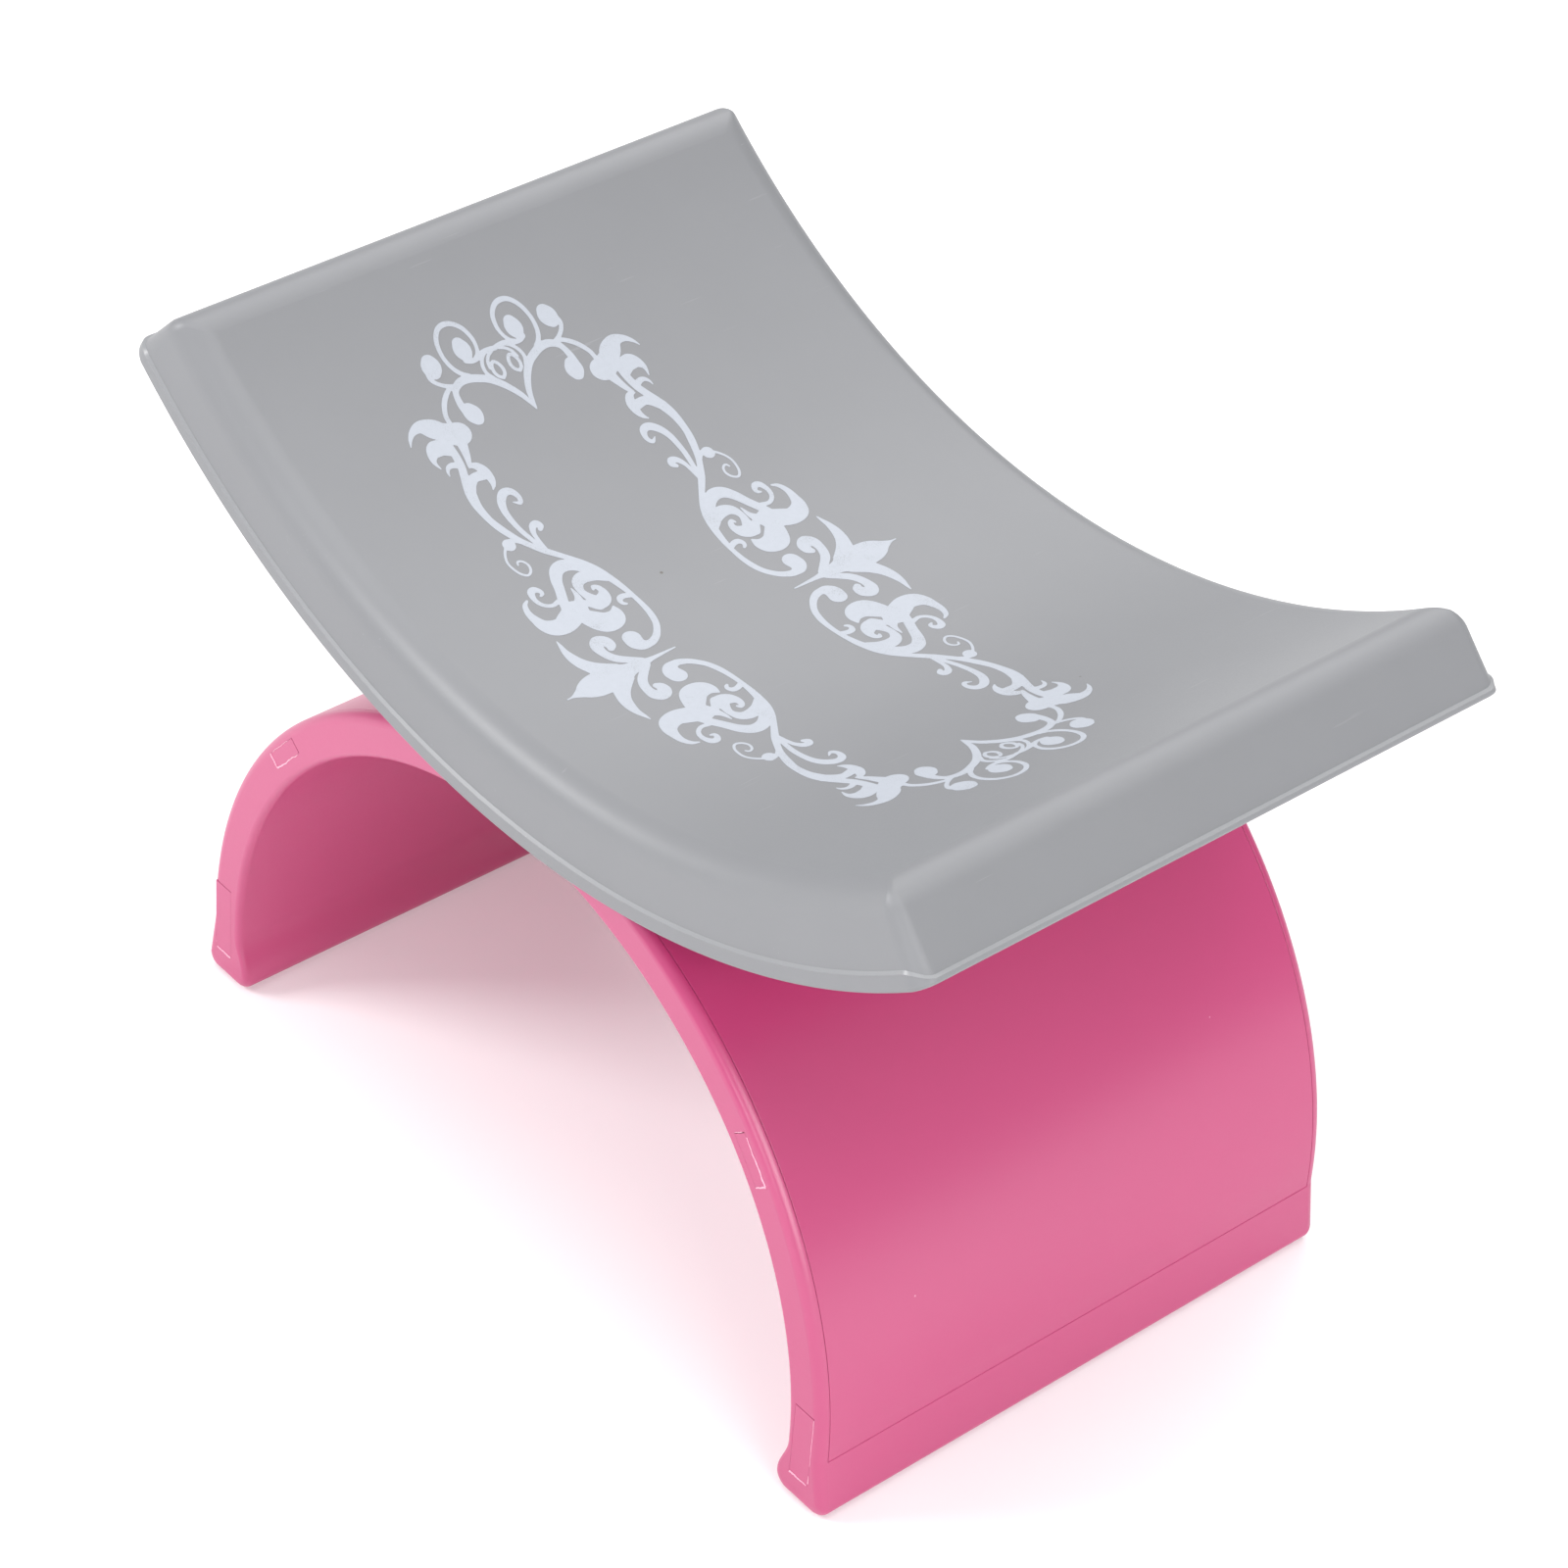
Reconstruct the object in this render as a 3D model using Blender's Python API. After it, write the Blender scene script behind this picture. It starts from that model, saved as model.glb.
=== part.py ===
"""Manicure hand rest: a concave silicone wrist pad carried on a hollow two-shell arch.

Metres, +Z up. X runs along the pad, which is concave that way. Y runs through the
tunnel of the arch. The origin lies on the table below the middle of the pad.
"""

import math

import bmesh
import bpy
from mathutils import Vector

# Fits and cuts
FIT_GAP = 0.0003                 # air between two pieces that seat on each other
CUT_OVERRUN = 0.002              # how far a cutter passes the surface it opens
WELD_DISTANCE = 0.000002         # points closer than this are one point

# Pad, measured on its top surface
PAD_LENGTH = 0.2185              # along the bend, end to end
PAD_WIDTH = 0.1372
PAD_BEND_RADIUS = 0.1595         # of the concave top
PAD_DEPTH = 0.0187               # from the top to the lower edge of the lip
PAD_EDGE_RADIUS = 0.0064         # rolled edge between top and skirt
PAD_CORNER_RADIUS = 0.0045       # in plan

# Silicone cover
COVER_SKIN = 0.0024
SKIRT_FLARE = 0.0006             # how far the skirt leans out down to the bead
BEAD_PROUD = 0.0004
BEAD_WIDTH = 0.001
BEAD_RISE_SIDE = 0.0042          # bead above the lip's lower edge, on the long sides
BEAD_RISE_END = 0.0021           # the same on the two ends
BAND_STEP = 0.0004               # the band below the bead steps in by this
LIP_THICKNESS = 0.0037           # of the hook that grips below the tray
LIP_REACH = 0.0012               # how far the hook reaches in past the skin
LIP_ROUND = 0.0008
LIP_CLEARANCE = 0.0008           # between the hook and the side faces of the arch

# Foam insert
FOAM_THICKNESS = 0.0045

# Tray
TRAY_PLATE = 0.0025
TRAY_WALL = 0.0021
TRAY_RIB = 0.0018
TRAY_RIB_PITCH = 0.028           # between the cross ribs outside the saddle
TRAY_RIB_ROWS = 2                # cross ribs on each wing
SADDLE_LENGTH = 0.044            # along X, over the crown
SADDLE_MARGIN = 0.0114           # from the side faces of the arch in to the saddle
SADDLE_MIDDLE_BAY = 0.036        # between the two inner ribs of the saddle
SADDLE_STANDOFF = 0.004          # from the crown to the underside of the tray's plate

# Arch
ARCH_RADIUS = 0.0952             # outside
ARCH_THICKNESS = 0.0091
FOOT_HEIGHT = 0.0141             # straight foot below the half circle
FOOT_FLARE = 0.0018              # the foot's outer face leans out by this at the floor
FOOT_BAND = 0.0134               # height of the band below the outer plate
FOOT_ROUND = 0.0022
TOE_FLARE = 0.0024               # the toe swells into the tunnel by this
TOE_HEIGHT = 0.0132
TOE_ROUND = 0.0028
ARCH_EDGE_ROUND = 0.0022         # on both edges of the side faces
ARCH_RIM = 0.0024                # side wall beside the outer plate
ARCH_SIDE_WALL = 0.0032
ARCH_PLATE = 0.0025
TUNNEL_WALL = 0.0022
FOOT_BOTTOM_WALL = 0.0024
ARCH_RIB = 0.002
RIB_HOOK_OFFSET = 14.0           # degrees from a hook to the cross ribs beside it

# Hooks of the outer plate and their windows in the side walls
HOOK_ANGLE = 50.7                # degrees from the crown
HOOK_LENGTH = 0.0108
HOOK_ARM = 0.0016
HOOK_LAP = 0.0006                # how far a window cuts in behind the side wall
FOOT_HOOK_LENGTH = 0.0177
FOOT_HOOK_BASE = 0.0065          # lower end of the foot windows above the foot bottom
HIGH_WINDOW_SHARES = (0.25, 0.62)    # of the arch's thickness, from outside, below the pad
FOOT_WINDOW_SHARES = (0.21, 0.75)    # the same at the feet

# Crown screws
SCREW_DIAMETER = 0.003
SCREW_ENGAGEMENT = 0.0058        # thread inside the tray's boss
SCREW_HEAD_DIAMETER = 0.0062
SCREW_HEAD_HEIGHT = 0.0021
SCREW_RECESS_DEPTH = 0.0011
SCREW_RECESS_WIDTH = 0.0009
SCREW_RECESS_SPAN = 0.0032
SCREW_SPACING_X = 0.026
SCREW_MARGIN = 0.0254            # from the side faces of the arch in to the screws
SCREW_SEAT_DROP = 0.0007         # flat seat below the plate's inner face
BOSS_DIAMETER = 0.0076
BOSS_ROOF = 0.0012               # tray material left over the pilot hole

# Anti-slip strips in the foot bottoms
STRIP_WIDTH = 0.0056
STRIP_MARGIN = 0.0094            # from the side faces of the arch in to the strip's ends
STRIP_THICKNESS = 0.0012
STRIP_PROUD = 0.0004
STRIP_END_SEGMENTS = 8

# Fineness of the round stretches
ARCH_SEGMENTS = 28               # on each quarter of the arch
PAD_SEGMENTS = 22                # along the straight part of the pad's outline
BAY_SEGMENTS = 8                 # along each bay between the arch's ribs
CORNER_SEGMENTS = 4
ROLL_SEGMENTS = 4
SMALL_SEGMENTS = 3
TURNED_SEGMENTS = 16
SMOOTH_ANGLE = math.radians(32)

# Worked out from the sizes above
ARCH_BASE = STRIP_PROUD
SPRING_HEIGHT = ARCH_BASE + FOOT_HEIGHT
CROWN_HEIGHT = SPRING_HEIGHT + ARCH_RADIUS
TUNNEL_RADIUS = ARCH_RADIUS - ARCH_THICKNESS
ARCH_HALF_WIDTH = PAD_WIDTH / 2 - COVER_SKIN - LIP_REACH - LIP_CLEARANCE
FOAM_TOP = COVER_SKIN + FIT_GAP
FOAM_BOTTOM = FOAM_TOP + FOAM_THICKNESS
TRAY_TOP = FOAM_BOTTOM + FIT_GAP
TRAY_UNDERSIDE = TRAY_TOP + TRAY_PLATE
TRAY_BOTTOM = PAD_DEPTH - LIP_THICKNESS - FIT_GAP
PAD_CENTRE_HEIGHT = CROWN_HEIGHT + SADDLE_STANDOFF + TRAY_UNDERSIDE
PLATE_INNER_RADIUS = ARCH_RADIUS - ARCH_PLATE
SADDLE_WIDTH = 2 * (ARCH_HALF_WIDTH - SADDLE_MARGIN)
STRIP_LENGTH = 2 * (ARCH_HALF_WIDTH - STRIP_MARGIN)
BAND_HEIGHT = ARCH_BASE + FOOT_BAND
SCREW_SEAT_HEIGHT = (SPRING_HEIGHT - SCREW_SEAT_DROP
                     + math.sqrt(PLATE_INNER_RADIUS ** 2
                                 - (SCREW_SPACING_X / 2 + SCREW_HEAD_DIAMETER / 2) ** 2))
STRIP_PLACE = (ARCH_RADIUS + FOOT_FLARE - FOOT_ROUND + TUNNEL_RADIUS - TOE_FLARE + TOE_ROUND) / 2


def clear_scene():
    """Remove every object that the scene starts with."""
    for item in list(bpy.data.objects):
        bpy.data.objects.remove(item, do_unlink=True)


def finish(name, colour, roughness, metallic=0.0):
    """Make a plain material with the piece's colour and gloss."""
    material = bpy.data.materials.new(name)
    material.use_nodes = True
    shader = material.node_tree.nodes["Principled BSDF"]
    shader.inputs["Base Color"].default_value = (*colour, 1.0)
    shader.inputs["Roughness"].default_value = roughness
    shader.inputs["Metallic"].default_value = metallic
    material.diffuse_color = (*colour, 1.0)
    return material


def new_mesh(name, bm, material=None):
    """Turn a bmesh into a mesh with outward faces and smooth round stretches."""
    bmesh.ops.remove_doubles(bm, verts=bm.verts[:], dist=WELD_DISTANCE)
    bmesh.ops.recalc_face_normals(bm, faces=bm.faces[:])
    mesh = bpy.data.meshes.new(name)
    bm.to_mesh(mesh)
    bm.free()
    mesh.shade_smooth()
    mesh.set_sharp_from_angle(angle=SMOOTH_ANGLE)
    if material:
        mesh.materials.append(material)
    return mesh


def place_mesh(name, mesh, location=(0, 0, 0)):
    """Put an object that uses a mesh into the scene."""
    piece = bpy.data.objects.new(name, mesh)
    piece.location = location
    bpy.context.scene.collection.objects.link(piece)
    return piece


def new_piece(name, bm, material=None):
    """Make a mesh and its object, drawn where it stands."""
    return place_mesh(name, new_mesh(name, bm, material))


def combine(piece, other, operation):
    """Cut, join or intersect a piece with a guide body that stays out of the build."""
    other.hide_render = True
    other.display_type = "WIRE"
    modifier = piece.modifiers.new(f"{operation.lower()} {other.name}", "BOOLEAN")
    modifier.operation = operation
    modifier.solver = "EXACT"
    modifier.object = other
    return modifier


def arc(centre, radius, start, end, segments):
    """Points on an arc, with angles in degrees from the first axis to the second."""
    points = []
    for step in range(segments + 1):
        angle = math.radians(start + (end - start) * step / segments)
        points.append((centre[0] + radius * math.cos(angle), centre[1] + radius * math.sin(angle)))
    return points


def add_loft(bm, rings, closed=False):
    """Join rings of equal counts with quads, and cap the two ends unless the loft closes."""
    loops = [[bm.verts.new(point) for point in ring] for ring in rings]
    pairs = list(zip(loops, loops[1:]))
    if closed:
        pairs.append((loops[-1], loops[0]))
    for lower, upper in pairs:
        count = len(lower)
        for index in range(count):
            after = (index + 1) % count
            bm.faces.new((lower[index], lower[after], upper[after], upper[index]))
    if not closed:
        bm.faces.new(list(reversed(loops[0])))
        bm.faces.new(loops[-1])
    return loops


def add_prism(bm, outline, start_y, end_y):
    """Extrude a closed XZ outline along Y."""
    add_loft(bm, [[(x, y, z) for x, z in outline] for y in (start_y, end_y)])


def add_block(bm, low, high):
    """Add a rectangular block between two corners."""
    outline = [(low[0], low[2]), (high[0], low[2]), (high[0], high[2]), (low[0], high[2])]
    add_prism(bm, outline, low[1], high[1])


def add_turned(bm, profile, place=(0, 0), segments=TURNED_SEGMENTS):
    """Turn a profile of radius and height about a vertical axis through a place."""
    rings = []
    for radius, height in profile:
        rings.append([(place[0] + x, place[1] + y, height)
                      for x, y in arc((0, 0), radius, 0, 360, segments)[:-1]])
    add_loft(bm, rings)


# The pad is drawn flat as length, width and depth, then bent about an axis along Y.

def bend(length, width, depth):
    """Place a point of the flat pad on the bent one."""
    angle = length / PAD_BEND_RADIUS
    radius = PAD_BEND_RADIUS + depth
    axis_height = PAD_CENTRE_HEIGHT + PAD_BEND_RADIUS
    return Vector((radius * math.sin(angle), width, axis_height - radius * math.cos(angle)))


def pad_stations(inset):
    """Length, half width and share of the corner turned, along one side of the outline."""
    half_length = PAD_LENGTH / 2 - inset
    half_width = PAD_WIDTH / 2 - inset
    radius = max(PAD_CORNER_RADIUS - inset, FIT_GAP)
    stations = []
    for step in range(CORNER_SEGMENTS + 1):
        turn = math.radians(90.0 * step / CORNER_SEGMENTS)
        stations.append((half_length - radius + radius * math.cos(turn),
                         half_width - radius + radius * math.sin(turn),
                         math.cos(turn) ** 2))
    straight = half_length - radius
    side = []
    for step in range(1, PAD_SEGMENTS):
        side.append((straight - 2 * straight * step / PAD_SEGMENTS, half_width, 0.0))
    mirrored = [(-length, width, share) for length, width, share in reversed(stations)]
    return stations + side + mirrored


def pad_ring(inset, side_depth, end_depth=None):
    """One closed loop of the bent pad, whose depth may differ between sides and ends."""
    if end_depth is None:
        end_depth = side_depth
    near, far = [], []
    for length, width, share in pad_stations(inset):
        depth = side_depth + (end_depth - side_depth) * share
        near.append(bend(length, -width, depth))
        far.append(bend(length, width, depth))
    return near + list(reversed(far))


def add_pad_shell(bm, rings):
    """Loft pad loops and cap both ends with straight strips across the pad."""
    loops = [[bm.verts.new(point) for point in ring] for ring in rings]
    for lower, upper in zip(loops, loops[1:]):
        count = len(lower)
        for index in range(count):
            after = (index + 1) % count
            bm.faces.new((lower[index], lower[after], upper[after], upper[index]))
    for loop in (loops[0], loops[-1]):
        half = len(loop) // 2
        for index in range(half - 1):
            bm.faces.new((loop[index], loop[index + 1], loop[-2 - index], loop[-1 - index]))


def rolled_edge(radius, last_depth=PAD_DEPTH):
    """Inset and depth of a quarter round about the centre of the pad's rolled edge."""
    turn = 90.0
    if last_depth < PAD_EDGE_RADIUS:
        turn = math.degrees(math.acos(min(1.0, (PAD_EDGE_RADIUS - last_depth) / radius)))
    quarter = arc((0, 0), radius, 90.0, 90.0 - turn, ROLL_SEGMENTS)
    return [(PAD_EDGE_RADIUS - across, PAD_EDGE_RADIUS - up) for across, up in quarter]


def make_pad_cover(material):
    """Silicone cover: rolled edge, flared skirt, bead that dips at the ends, and hooked lip."""
    rings = [pad_ring(inset, depth) for inset, depth in rolled_edge(PAD_EDGE_RADIUS)]
    side_bead = PAD_DEPTH - BEAD_RISE_SIDE
    end_bead = PAD_DEPTH - BEAD_RISE_END
    half_bead = BEAD_WIDTH / 2
    band_inset = BAND_STEP - SKIRT_FLARE
    lip_inset = COVER_SKIN + LIP_REACH
    lip_top = PAD_DEPTH - LIP_THICKNESS
    rings += [
        pad_ring(-SKIRT_FLARE, side_bead - half_bead, end_bead - half_bead),
        pad_ring(-SKIRT_FLARE - BEAD_PROUD, side_bead, end_bead),
        pad_ring(band_inset, side_bead + half_bead, end_bead + half_bead),
    ]
    for across, down in arc((0, 0), LIP_ROUND, 0.0, 90.0, SMALL_SEGMENTS):
        rings.append(pad_ring(band_inset + LIP_ROUND - across, PAD_DEPTH - LIP_ROUND + down))
    rings += [
        pad_ring(lip_inset, PAD_DEPTH),
        pad_ring(lip_inset, lip_top),
        pad_ring(COVER_SKIN, lip_top),
    ]
    inner_roll = rolled_edge(PAD_EDGE_RADIUS - COVER_SKIN)
    rings += [pad_ring(inset, depth) for inset, depth in reversed(inner_roll)]
    bm = bmesh.new()
    add_pad_shell(bm, rings)
    return new_piece("pad_cover", bm, material)


def make_pad_foam(material):
    """Foam insert that fills the top of the cover down to the tray."""
    bm = bmesh.new()
    roll = rolled_edge(PAD_EDGE_RADIUS - FOAM_TOP, FOAM_BOTTOM)
    rings = [pad_ring(inset, depth) for inset, depth in roll]
    if FOAM_BOTTOM > PAD_EDGE_RADIUS:
        rings.append(pad_ring(FOAM_TOP, FOAM_BOTTOM))
    add_pad_shell(bm, rings)
    return new_piece("pad_foam", bm, material)


def flat_pad_outline(inset):
    """Closed plan outline of the flat pad."""
    stations = [(length, width) for length, width, share in pad_stations(inset)]
    return stations + [(length, -width) for length, width in reversed(stations)]


def bay_edges(ribs, end):
    """Low and high edges of the bays between ribs that stand symmetrically about the middle."""
    centres = sorted([-rib for rib in ribs] + list(ribs))
    lows = [-end] + [centre + TRAY_RIB / 2 for centre in centres]
    highs = [centre - TRAY_RIB / 2 for centre in centres] + [end]
    return list(zip(lows, highs))


def make_pad_tray(material):
    """Rigid tray: plate, rim wall, ribs, and a saddle with bosses cut to the crown."""
    outer_inset = COVER_SKIN + FIT_GAP
    saddle_bottom = TRAY_UNDERSIDE + SADDLE_STANDOFF + SADDLE_LENGTH / 4
    bm = bmesh.new()
    add_loft(bm, [[(x, y, -depth) for x, y in flat_pad_outline(outer_inset)]
                  for depth in (TRAY_BOTTOM, TRAY_TOP)])
    tray = new_piece("tray_blank", bm)

    bm = bmesh.new()
    corner = ((SADDLE_LENGTH + TRAY_RIB) / 2, (SADDLE_WIDTH + TRAY_RIB) / 2)
    middle_depth = (TRAY_TOP + TRAY_UNDERSIDE) / 2
    add_block(bm, (-corner[0], -corner[1], -saddle_bottom), (corner[0], corner[1], -middle_depth))
    combine(tray, new_piece("saddle_block", bm), "UNION")

    cross_ribs = [SADDLE_LENGTH / 2 + TRAY_RIB_PITCH * row for row in range(TRAY_RIB_ROWS + 1)]
    long_ribs = [SADDLE_MIDDLE_BAY / 2, SADDLE_WIDTH / 2]
    wall_inset = outer_inset + TRAY_WALL
    bm = bmesh.new()
    for low_x, high_x in bay_edges(cross_ribs, PAD_LENGTH / 2 - wall_inset):
        for low_y, high_y in bay_edges(long_ribs, PAD_WIDTH / 2 - wall_inset):
            add_block(bm, (low_x, low_y, -saddle_bottom - CUT_OVERRUN), (high_x, high_y, -TRAY_UNDERSIDE))
    combine(tray, new_piece("tray_bays", bm), "DIFFERENCE")

    bpy.context.view_layer.update()
    evaluated = tray.evaluated_get(bpy.context.evaluated_depsgraph_get())
    bm = bmesh.new()
    bm.from_mesh(evaluated.to_mesh())
    evaluated.to_mesh_clear()
    bpy.data.objects.remove(tray, do_unlink=True)
    half = PAD_LENGTH / 2
    for step in range(1, PAD_SEGMENTS):
        place = -half + 2 * half * step / PAD_SEGMENTS
        bmesh.ops.bisect_plane(bm, geom=bm.verts[:] + bm.edges[:] + bm.faces[:],
                               dist=WELD_DISTANCE, plane_co=(place, 0, 0), plane_no=(1, 0, 0))
    for vert in bm.verts:
        vert.co = bend(vert.co.x, vert.co.y, -vert.co.z)
    bmesh.ops.triangulate(bm, faces=bm.faces[:])
    tray = new_piece("pad_tray", bm, material)

    pilot_radius = SCREW_DIAMETER / 2 + FIT_GAP
    bosses = bmesh.new()
    pilots = bmesh.new()
    for place in screw_places():
        plate_low = bend(place[0], 0, TRAY_UNDERSIDE).z
        boss_top = plate_low + TRAY_PLATE / 2
        add_turned(bosses, [(BOSS_DIAMETER / 2, SPRING_HEIGHT + PLATE_INNER_RADIUS - SADDLE_LENGTH / 4),
                            (BOSS_DIAMETER / 2, boss_top)], place)
        add_turned(pilots, [(pilot_radius, SPRING_HEIGHT + PLATE_INNER_RADIUS - SADDLE_LENGTH),
                            (pilot_radius, plate_low + TRAY_PLATE - BOSS_ROOF)], place)
    combine(tray, new_piece("tray_bosses", bosses), "UNION")
    combine(tray, new_piece("tray_pilots", pilots), "DIFFERENCE")

    bm = bmesh.new()
    outline = arc((0, SPRING_HEIGHT), ARCH_RADIUS + FIT_GAP, 0.0, 180.0, 2 * ARCH_SEGMENTS)
    half_width = ARCH_HALF_WIDTH + FIT_GAP
    add_prism(bm, outline, -half_width, half_width)
    combine(tray, new_piece("crown_clearance", bm), "DIFFERENCE")
    return tray


# The arch is drawn as an outline in the XZ plane.

def mirrored_outline(half):
    """Close a right-hand half outline, which starts and ends at X = 0, with its mirror image."""
    return half + [(-x, z) for x, z in reversed(half[1:-1])]


def toe_curve(low_x, low_z, high_x, high_z):
    """Soft double bend from the toe up to the tunnel wall, without its first point."""
    points = []
    for step in range(1, SMALL_SEGMENTS + 1):
        share = step / SMALL_SEGMENTS
        blend = (1 - math.cos(math.pi * share)) / 2
        points.append((low_x + (high_x - low_x) * blend, low_z + (high_z - low_z) * share))
    return points


def foot_face(height):
    """How far out the foot's leaning outer face stands at a height."""
    low = ARCH_BASE + FOOT_ROUND
    return ARCH_RADIUS + FOOT_FLARE * (SPRING_HEIGHT - height) / (SPRING_HEIGHT - low)


def arch_outline(edge_inset):
    """Section of the arch, drawn in by an inset all round for its rounded edges."""
    floor = ARCH_BASE + edge_inset
    foot_x = ARCH_RADIUS + FOOT_FLARE - edge_inset
    toe_x = TUNNEL_RADIUS - TOE_FLARE + edge_inset
    centre = (0, SPRING_HEIGHT)
    half = arc(centre, ARCH_RADIUS - edge_inset, 90.0, 0.0, ARCH_SEGMENTS)
    half += arc((foot_x - FOOT_ROUND, floor + FOOT_ROUND), FOOT_ROUND, 0.0, -90.0, SMALL_SEGMENTS)
    half += arc((toe_x + TOE_ROUND, floor + TOE_ROUND), TOE_ROUND, -90.0, -180.0, SMALL_SEGMENTS)
    half += toe_curve(toe_x, ARCH_BASE + TOE_ROUND, TUNNEL_RADIUS + edge_inset, ARCH_BASE + TOE_HEIGHT)
    half += arc(centre, TUNNEL_RADIUS + edge_inset, 0.0, 90.0, ARCH_SEGMENTS)
    return mirrored_outline(half)


def plate_outline(outside, inside, end_height):
    """Section of the outer plate, or of the room for it, by its distances from the outer face."""
    centre = (0, SPRING_HEIGHT)
    half = arc(centre, ARCH_RADIUS + outside, 90.0, 0.0, ARCH_SEGMENTS)
    half.append((foot_face(end_height) + outside, end_height))
    half.append((foot_face(end_height) - inside, end_height))
    half += arc(centre, ARCH_RADIUS - inside, 0.0, 90.0, ARCH_SEGMENTS)
    return mirrored_outline(half)


def screw_places():
    """Plan positions of the four crown screws."""
    place_y = ARCH_HALF_WIDTH - SCREW_MARGIN
    return [(side_x * SCREW_SPACING_X / 2, side_y * place_y)
            for side_x in (-1, 1) for side_y in (-1, 1)]


def add_arch_bays(bm):
    """Hollow bays between the cross ribs, open to the outer plate."""
    inner = TUNNEL_RADIUS + TUNNEL_WALL
    outer = ARCH_RADIUS - ARCH_PLATE
    half_rib = math.degrees(ARCH_RIB / 2 / inner)
    centre = (0, SPRING_HEIGHT)
    tilts = [HOOK_ANGLE + RIB_HOOK_OFFSET, HOOK_ANGLE - RIB_HOOK_OFFSET]
    ribs = [90.0 - tilt for tilt in tilts] + [90.0] + [90.0 + tilt for tilt in reversed(tilts)]
    outlines = []
    for start, end in zip(ribs, ribs[1:]):
        low, high = start + half_rib, end - half_rib
        outlines.append(arc(centre, outer, low, high, BAY_SEGMENTS)
                        + arc(centre, inner, high, low, BAY_SEGMENTS))
    floor = ARCH_BASE + FOOT_BOTTOM_WALL
    top = ribs[0] - half_rib
    leg = arc(centre, outer, top, 0.0, BAY_SEGMENTS)
    leg += [(foot_face(floor) - ARCH_PLATE, floor), (inner, floor)]
    leg += arc(centre, inner, 0.0, top, BAY_SEGMENTS)
    outlines += [leg, [(-x, z) for x, z in reversed(leg)]]
    for outline in outlines:
        for side in (-1, 1):
            add_prism(bm, outline, side * ARCH_RIB / 2, side * (ARCH_HALF_WIDTH - ARCH_SIDE_WALL))


def hook_frames():
    """Origin, outward axis, long axis, both ends, and window depths of each hook's place.

    The ends are measured along the long axis, which points down the leg: the window's two,
    and the lowest point where the hook may still join the outer plate.
    """
    frames = []
    angle = math.radians(HOOK_ANGLE)
    window_top = FOOT_HOOK_BASE + FOOT_HOOK_LENGTH
    plate_end = -FOOT_BAND - 2 * FIT_GAP
    high_depths = [share * ARCH_THICKNESS for share in HIGH_WINDOW_SHARES]
    foot_depths = [share * ARCH_THICKNESS for share in FOOT_WINDOW_SHARES]
    for side in (-1, 1):
        outward = Vector((side * math.sin(angle), 0, math.cos(angle)))
        along = Vector((side * math.cos(angle), 0, -math.sin(angle)))
        half = HOOK_LENGTH / 2
        frames.append((Vector((0, 0, SPRING_HEIGHT)), outward, along, (-half, half, half),
                       high_depths))
        frames.append((Vector((0, 0, ARCH_BASE)), Vector((side, 0, 0)), Vector((0, 0, -1)),
                       (-window_top, -FOOT_HOOK_BASE, plate_end), foot_depths))
    return frames


def add_along(bm, frame, section, start, end):
    """Extrude a section of depth below the arch's face and Y along a hook's long axis."""
    origin, outward, along = frame[:3]
    rings = []
    for offset in (start, end):
        rings.append([origin + outward * (ARCH_RADIUS - depth) + along * offset + Vector((0, y, 0))
                      for depth, y in section])
    add_loft(bm, rings)


def add_windows(bm):
    """Rectangular windows through both side walls."""
    inside = ARCH_HALF_WIDTH - ARCH_SIDE_WALL - HOOK_LAP
    outside = ARCH_HALF_WIDTH + CUT_OVERRUN
    for frame in hook_frames():
        start, end = frame[3][:2]
        high, low = frame[4]
        for side in (-1, 1):
            section = [(low, side * inside), (low, side * outside),
                       (high, side * outside), (high, side * inside)]
            add_along(bm, frame, section, start, end)


def add_hook_lugs(bm):
    """Lugs that fill the windows flush, each on an arm inside the side wall."""
    arm_face = ARCH_HALF_WIDTH - ARCH_SIDE_WALL - FIT_GAP
    lug_back = ARCH_HALF_WIDTH - ARCH_SIDE_WALL - HOOK_LAP + FIT_GAP
    arm_top = ARCH_PLATE + FIT_GAP
    for frame in hook_frames():
        start, end = frame[3][0] + FIT_GAP, frame[3][1] - FIT_GAP
        high, low = frame[4][0] + FIT_GAP, frame[4][1] - FIT_GAP
        arm_low = min(low, ARCH_THICKNESS - TUNNEL_WALL - FIT_GAP)
        for side in (-1, 1):
            section = [(arm_low, side * (arm_face - HOOK_ARM)), (arm_low, side * lug_back)]
            if low > arm_low:
                section.append((low, side * lug_back))
            section += [(low, side * ARCH_HALF_WIDTH), (high, side * ARCH_HALF_WIDTH),
                        (high, side * arm_face), (arm_top, side * arm_face),
                        (arm_top, side * (arm_face - HOOK_ARM))]
            add_along(bm, frame, section, start, end)


def add_hook_roots(bm):
    """Upper ends of the arms, where they grow out of the outer plate."""
    arm_face = ARCH_HALF_WIDTH - ARCH_SIDE_WALL - FIT_GAP
    top, bottom = ARCH_PLATE / 2, ARCH_PLATE + HOOK_ARM
    for frame in hook_frames():
        for side in (-1, 1):
            section = [(bottom, side * (arm_face - HOOK_ARM)), (bottom, side * arm_face),
                       (top, side * arm_face), (top, side * (arm_face - HOOK_ARM))]
            add_along(bm, frame, section, frame[3][0] + FIT_GAP, frame[3][2] - FIT_GAP)


def strip_outline(width, length):
    """Plan outline of a strip with round ends."""
    radius = width / 2
    straight = length / 2 - radius
    return (arc((0, straight), radius, 0.0, 180.0, STRIP_END_SEGMENTS)
            + arc((0, -straight), radius, 180.0, 360.0, STRIP_END_SEGMENTS))


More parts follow.
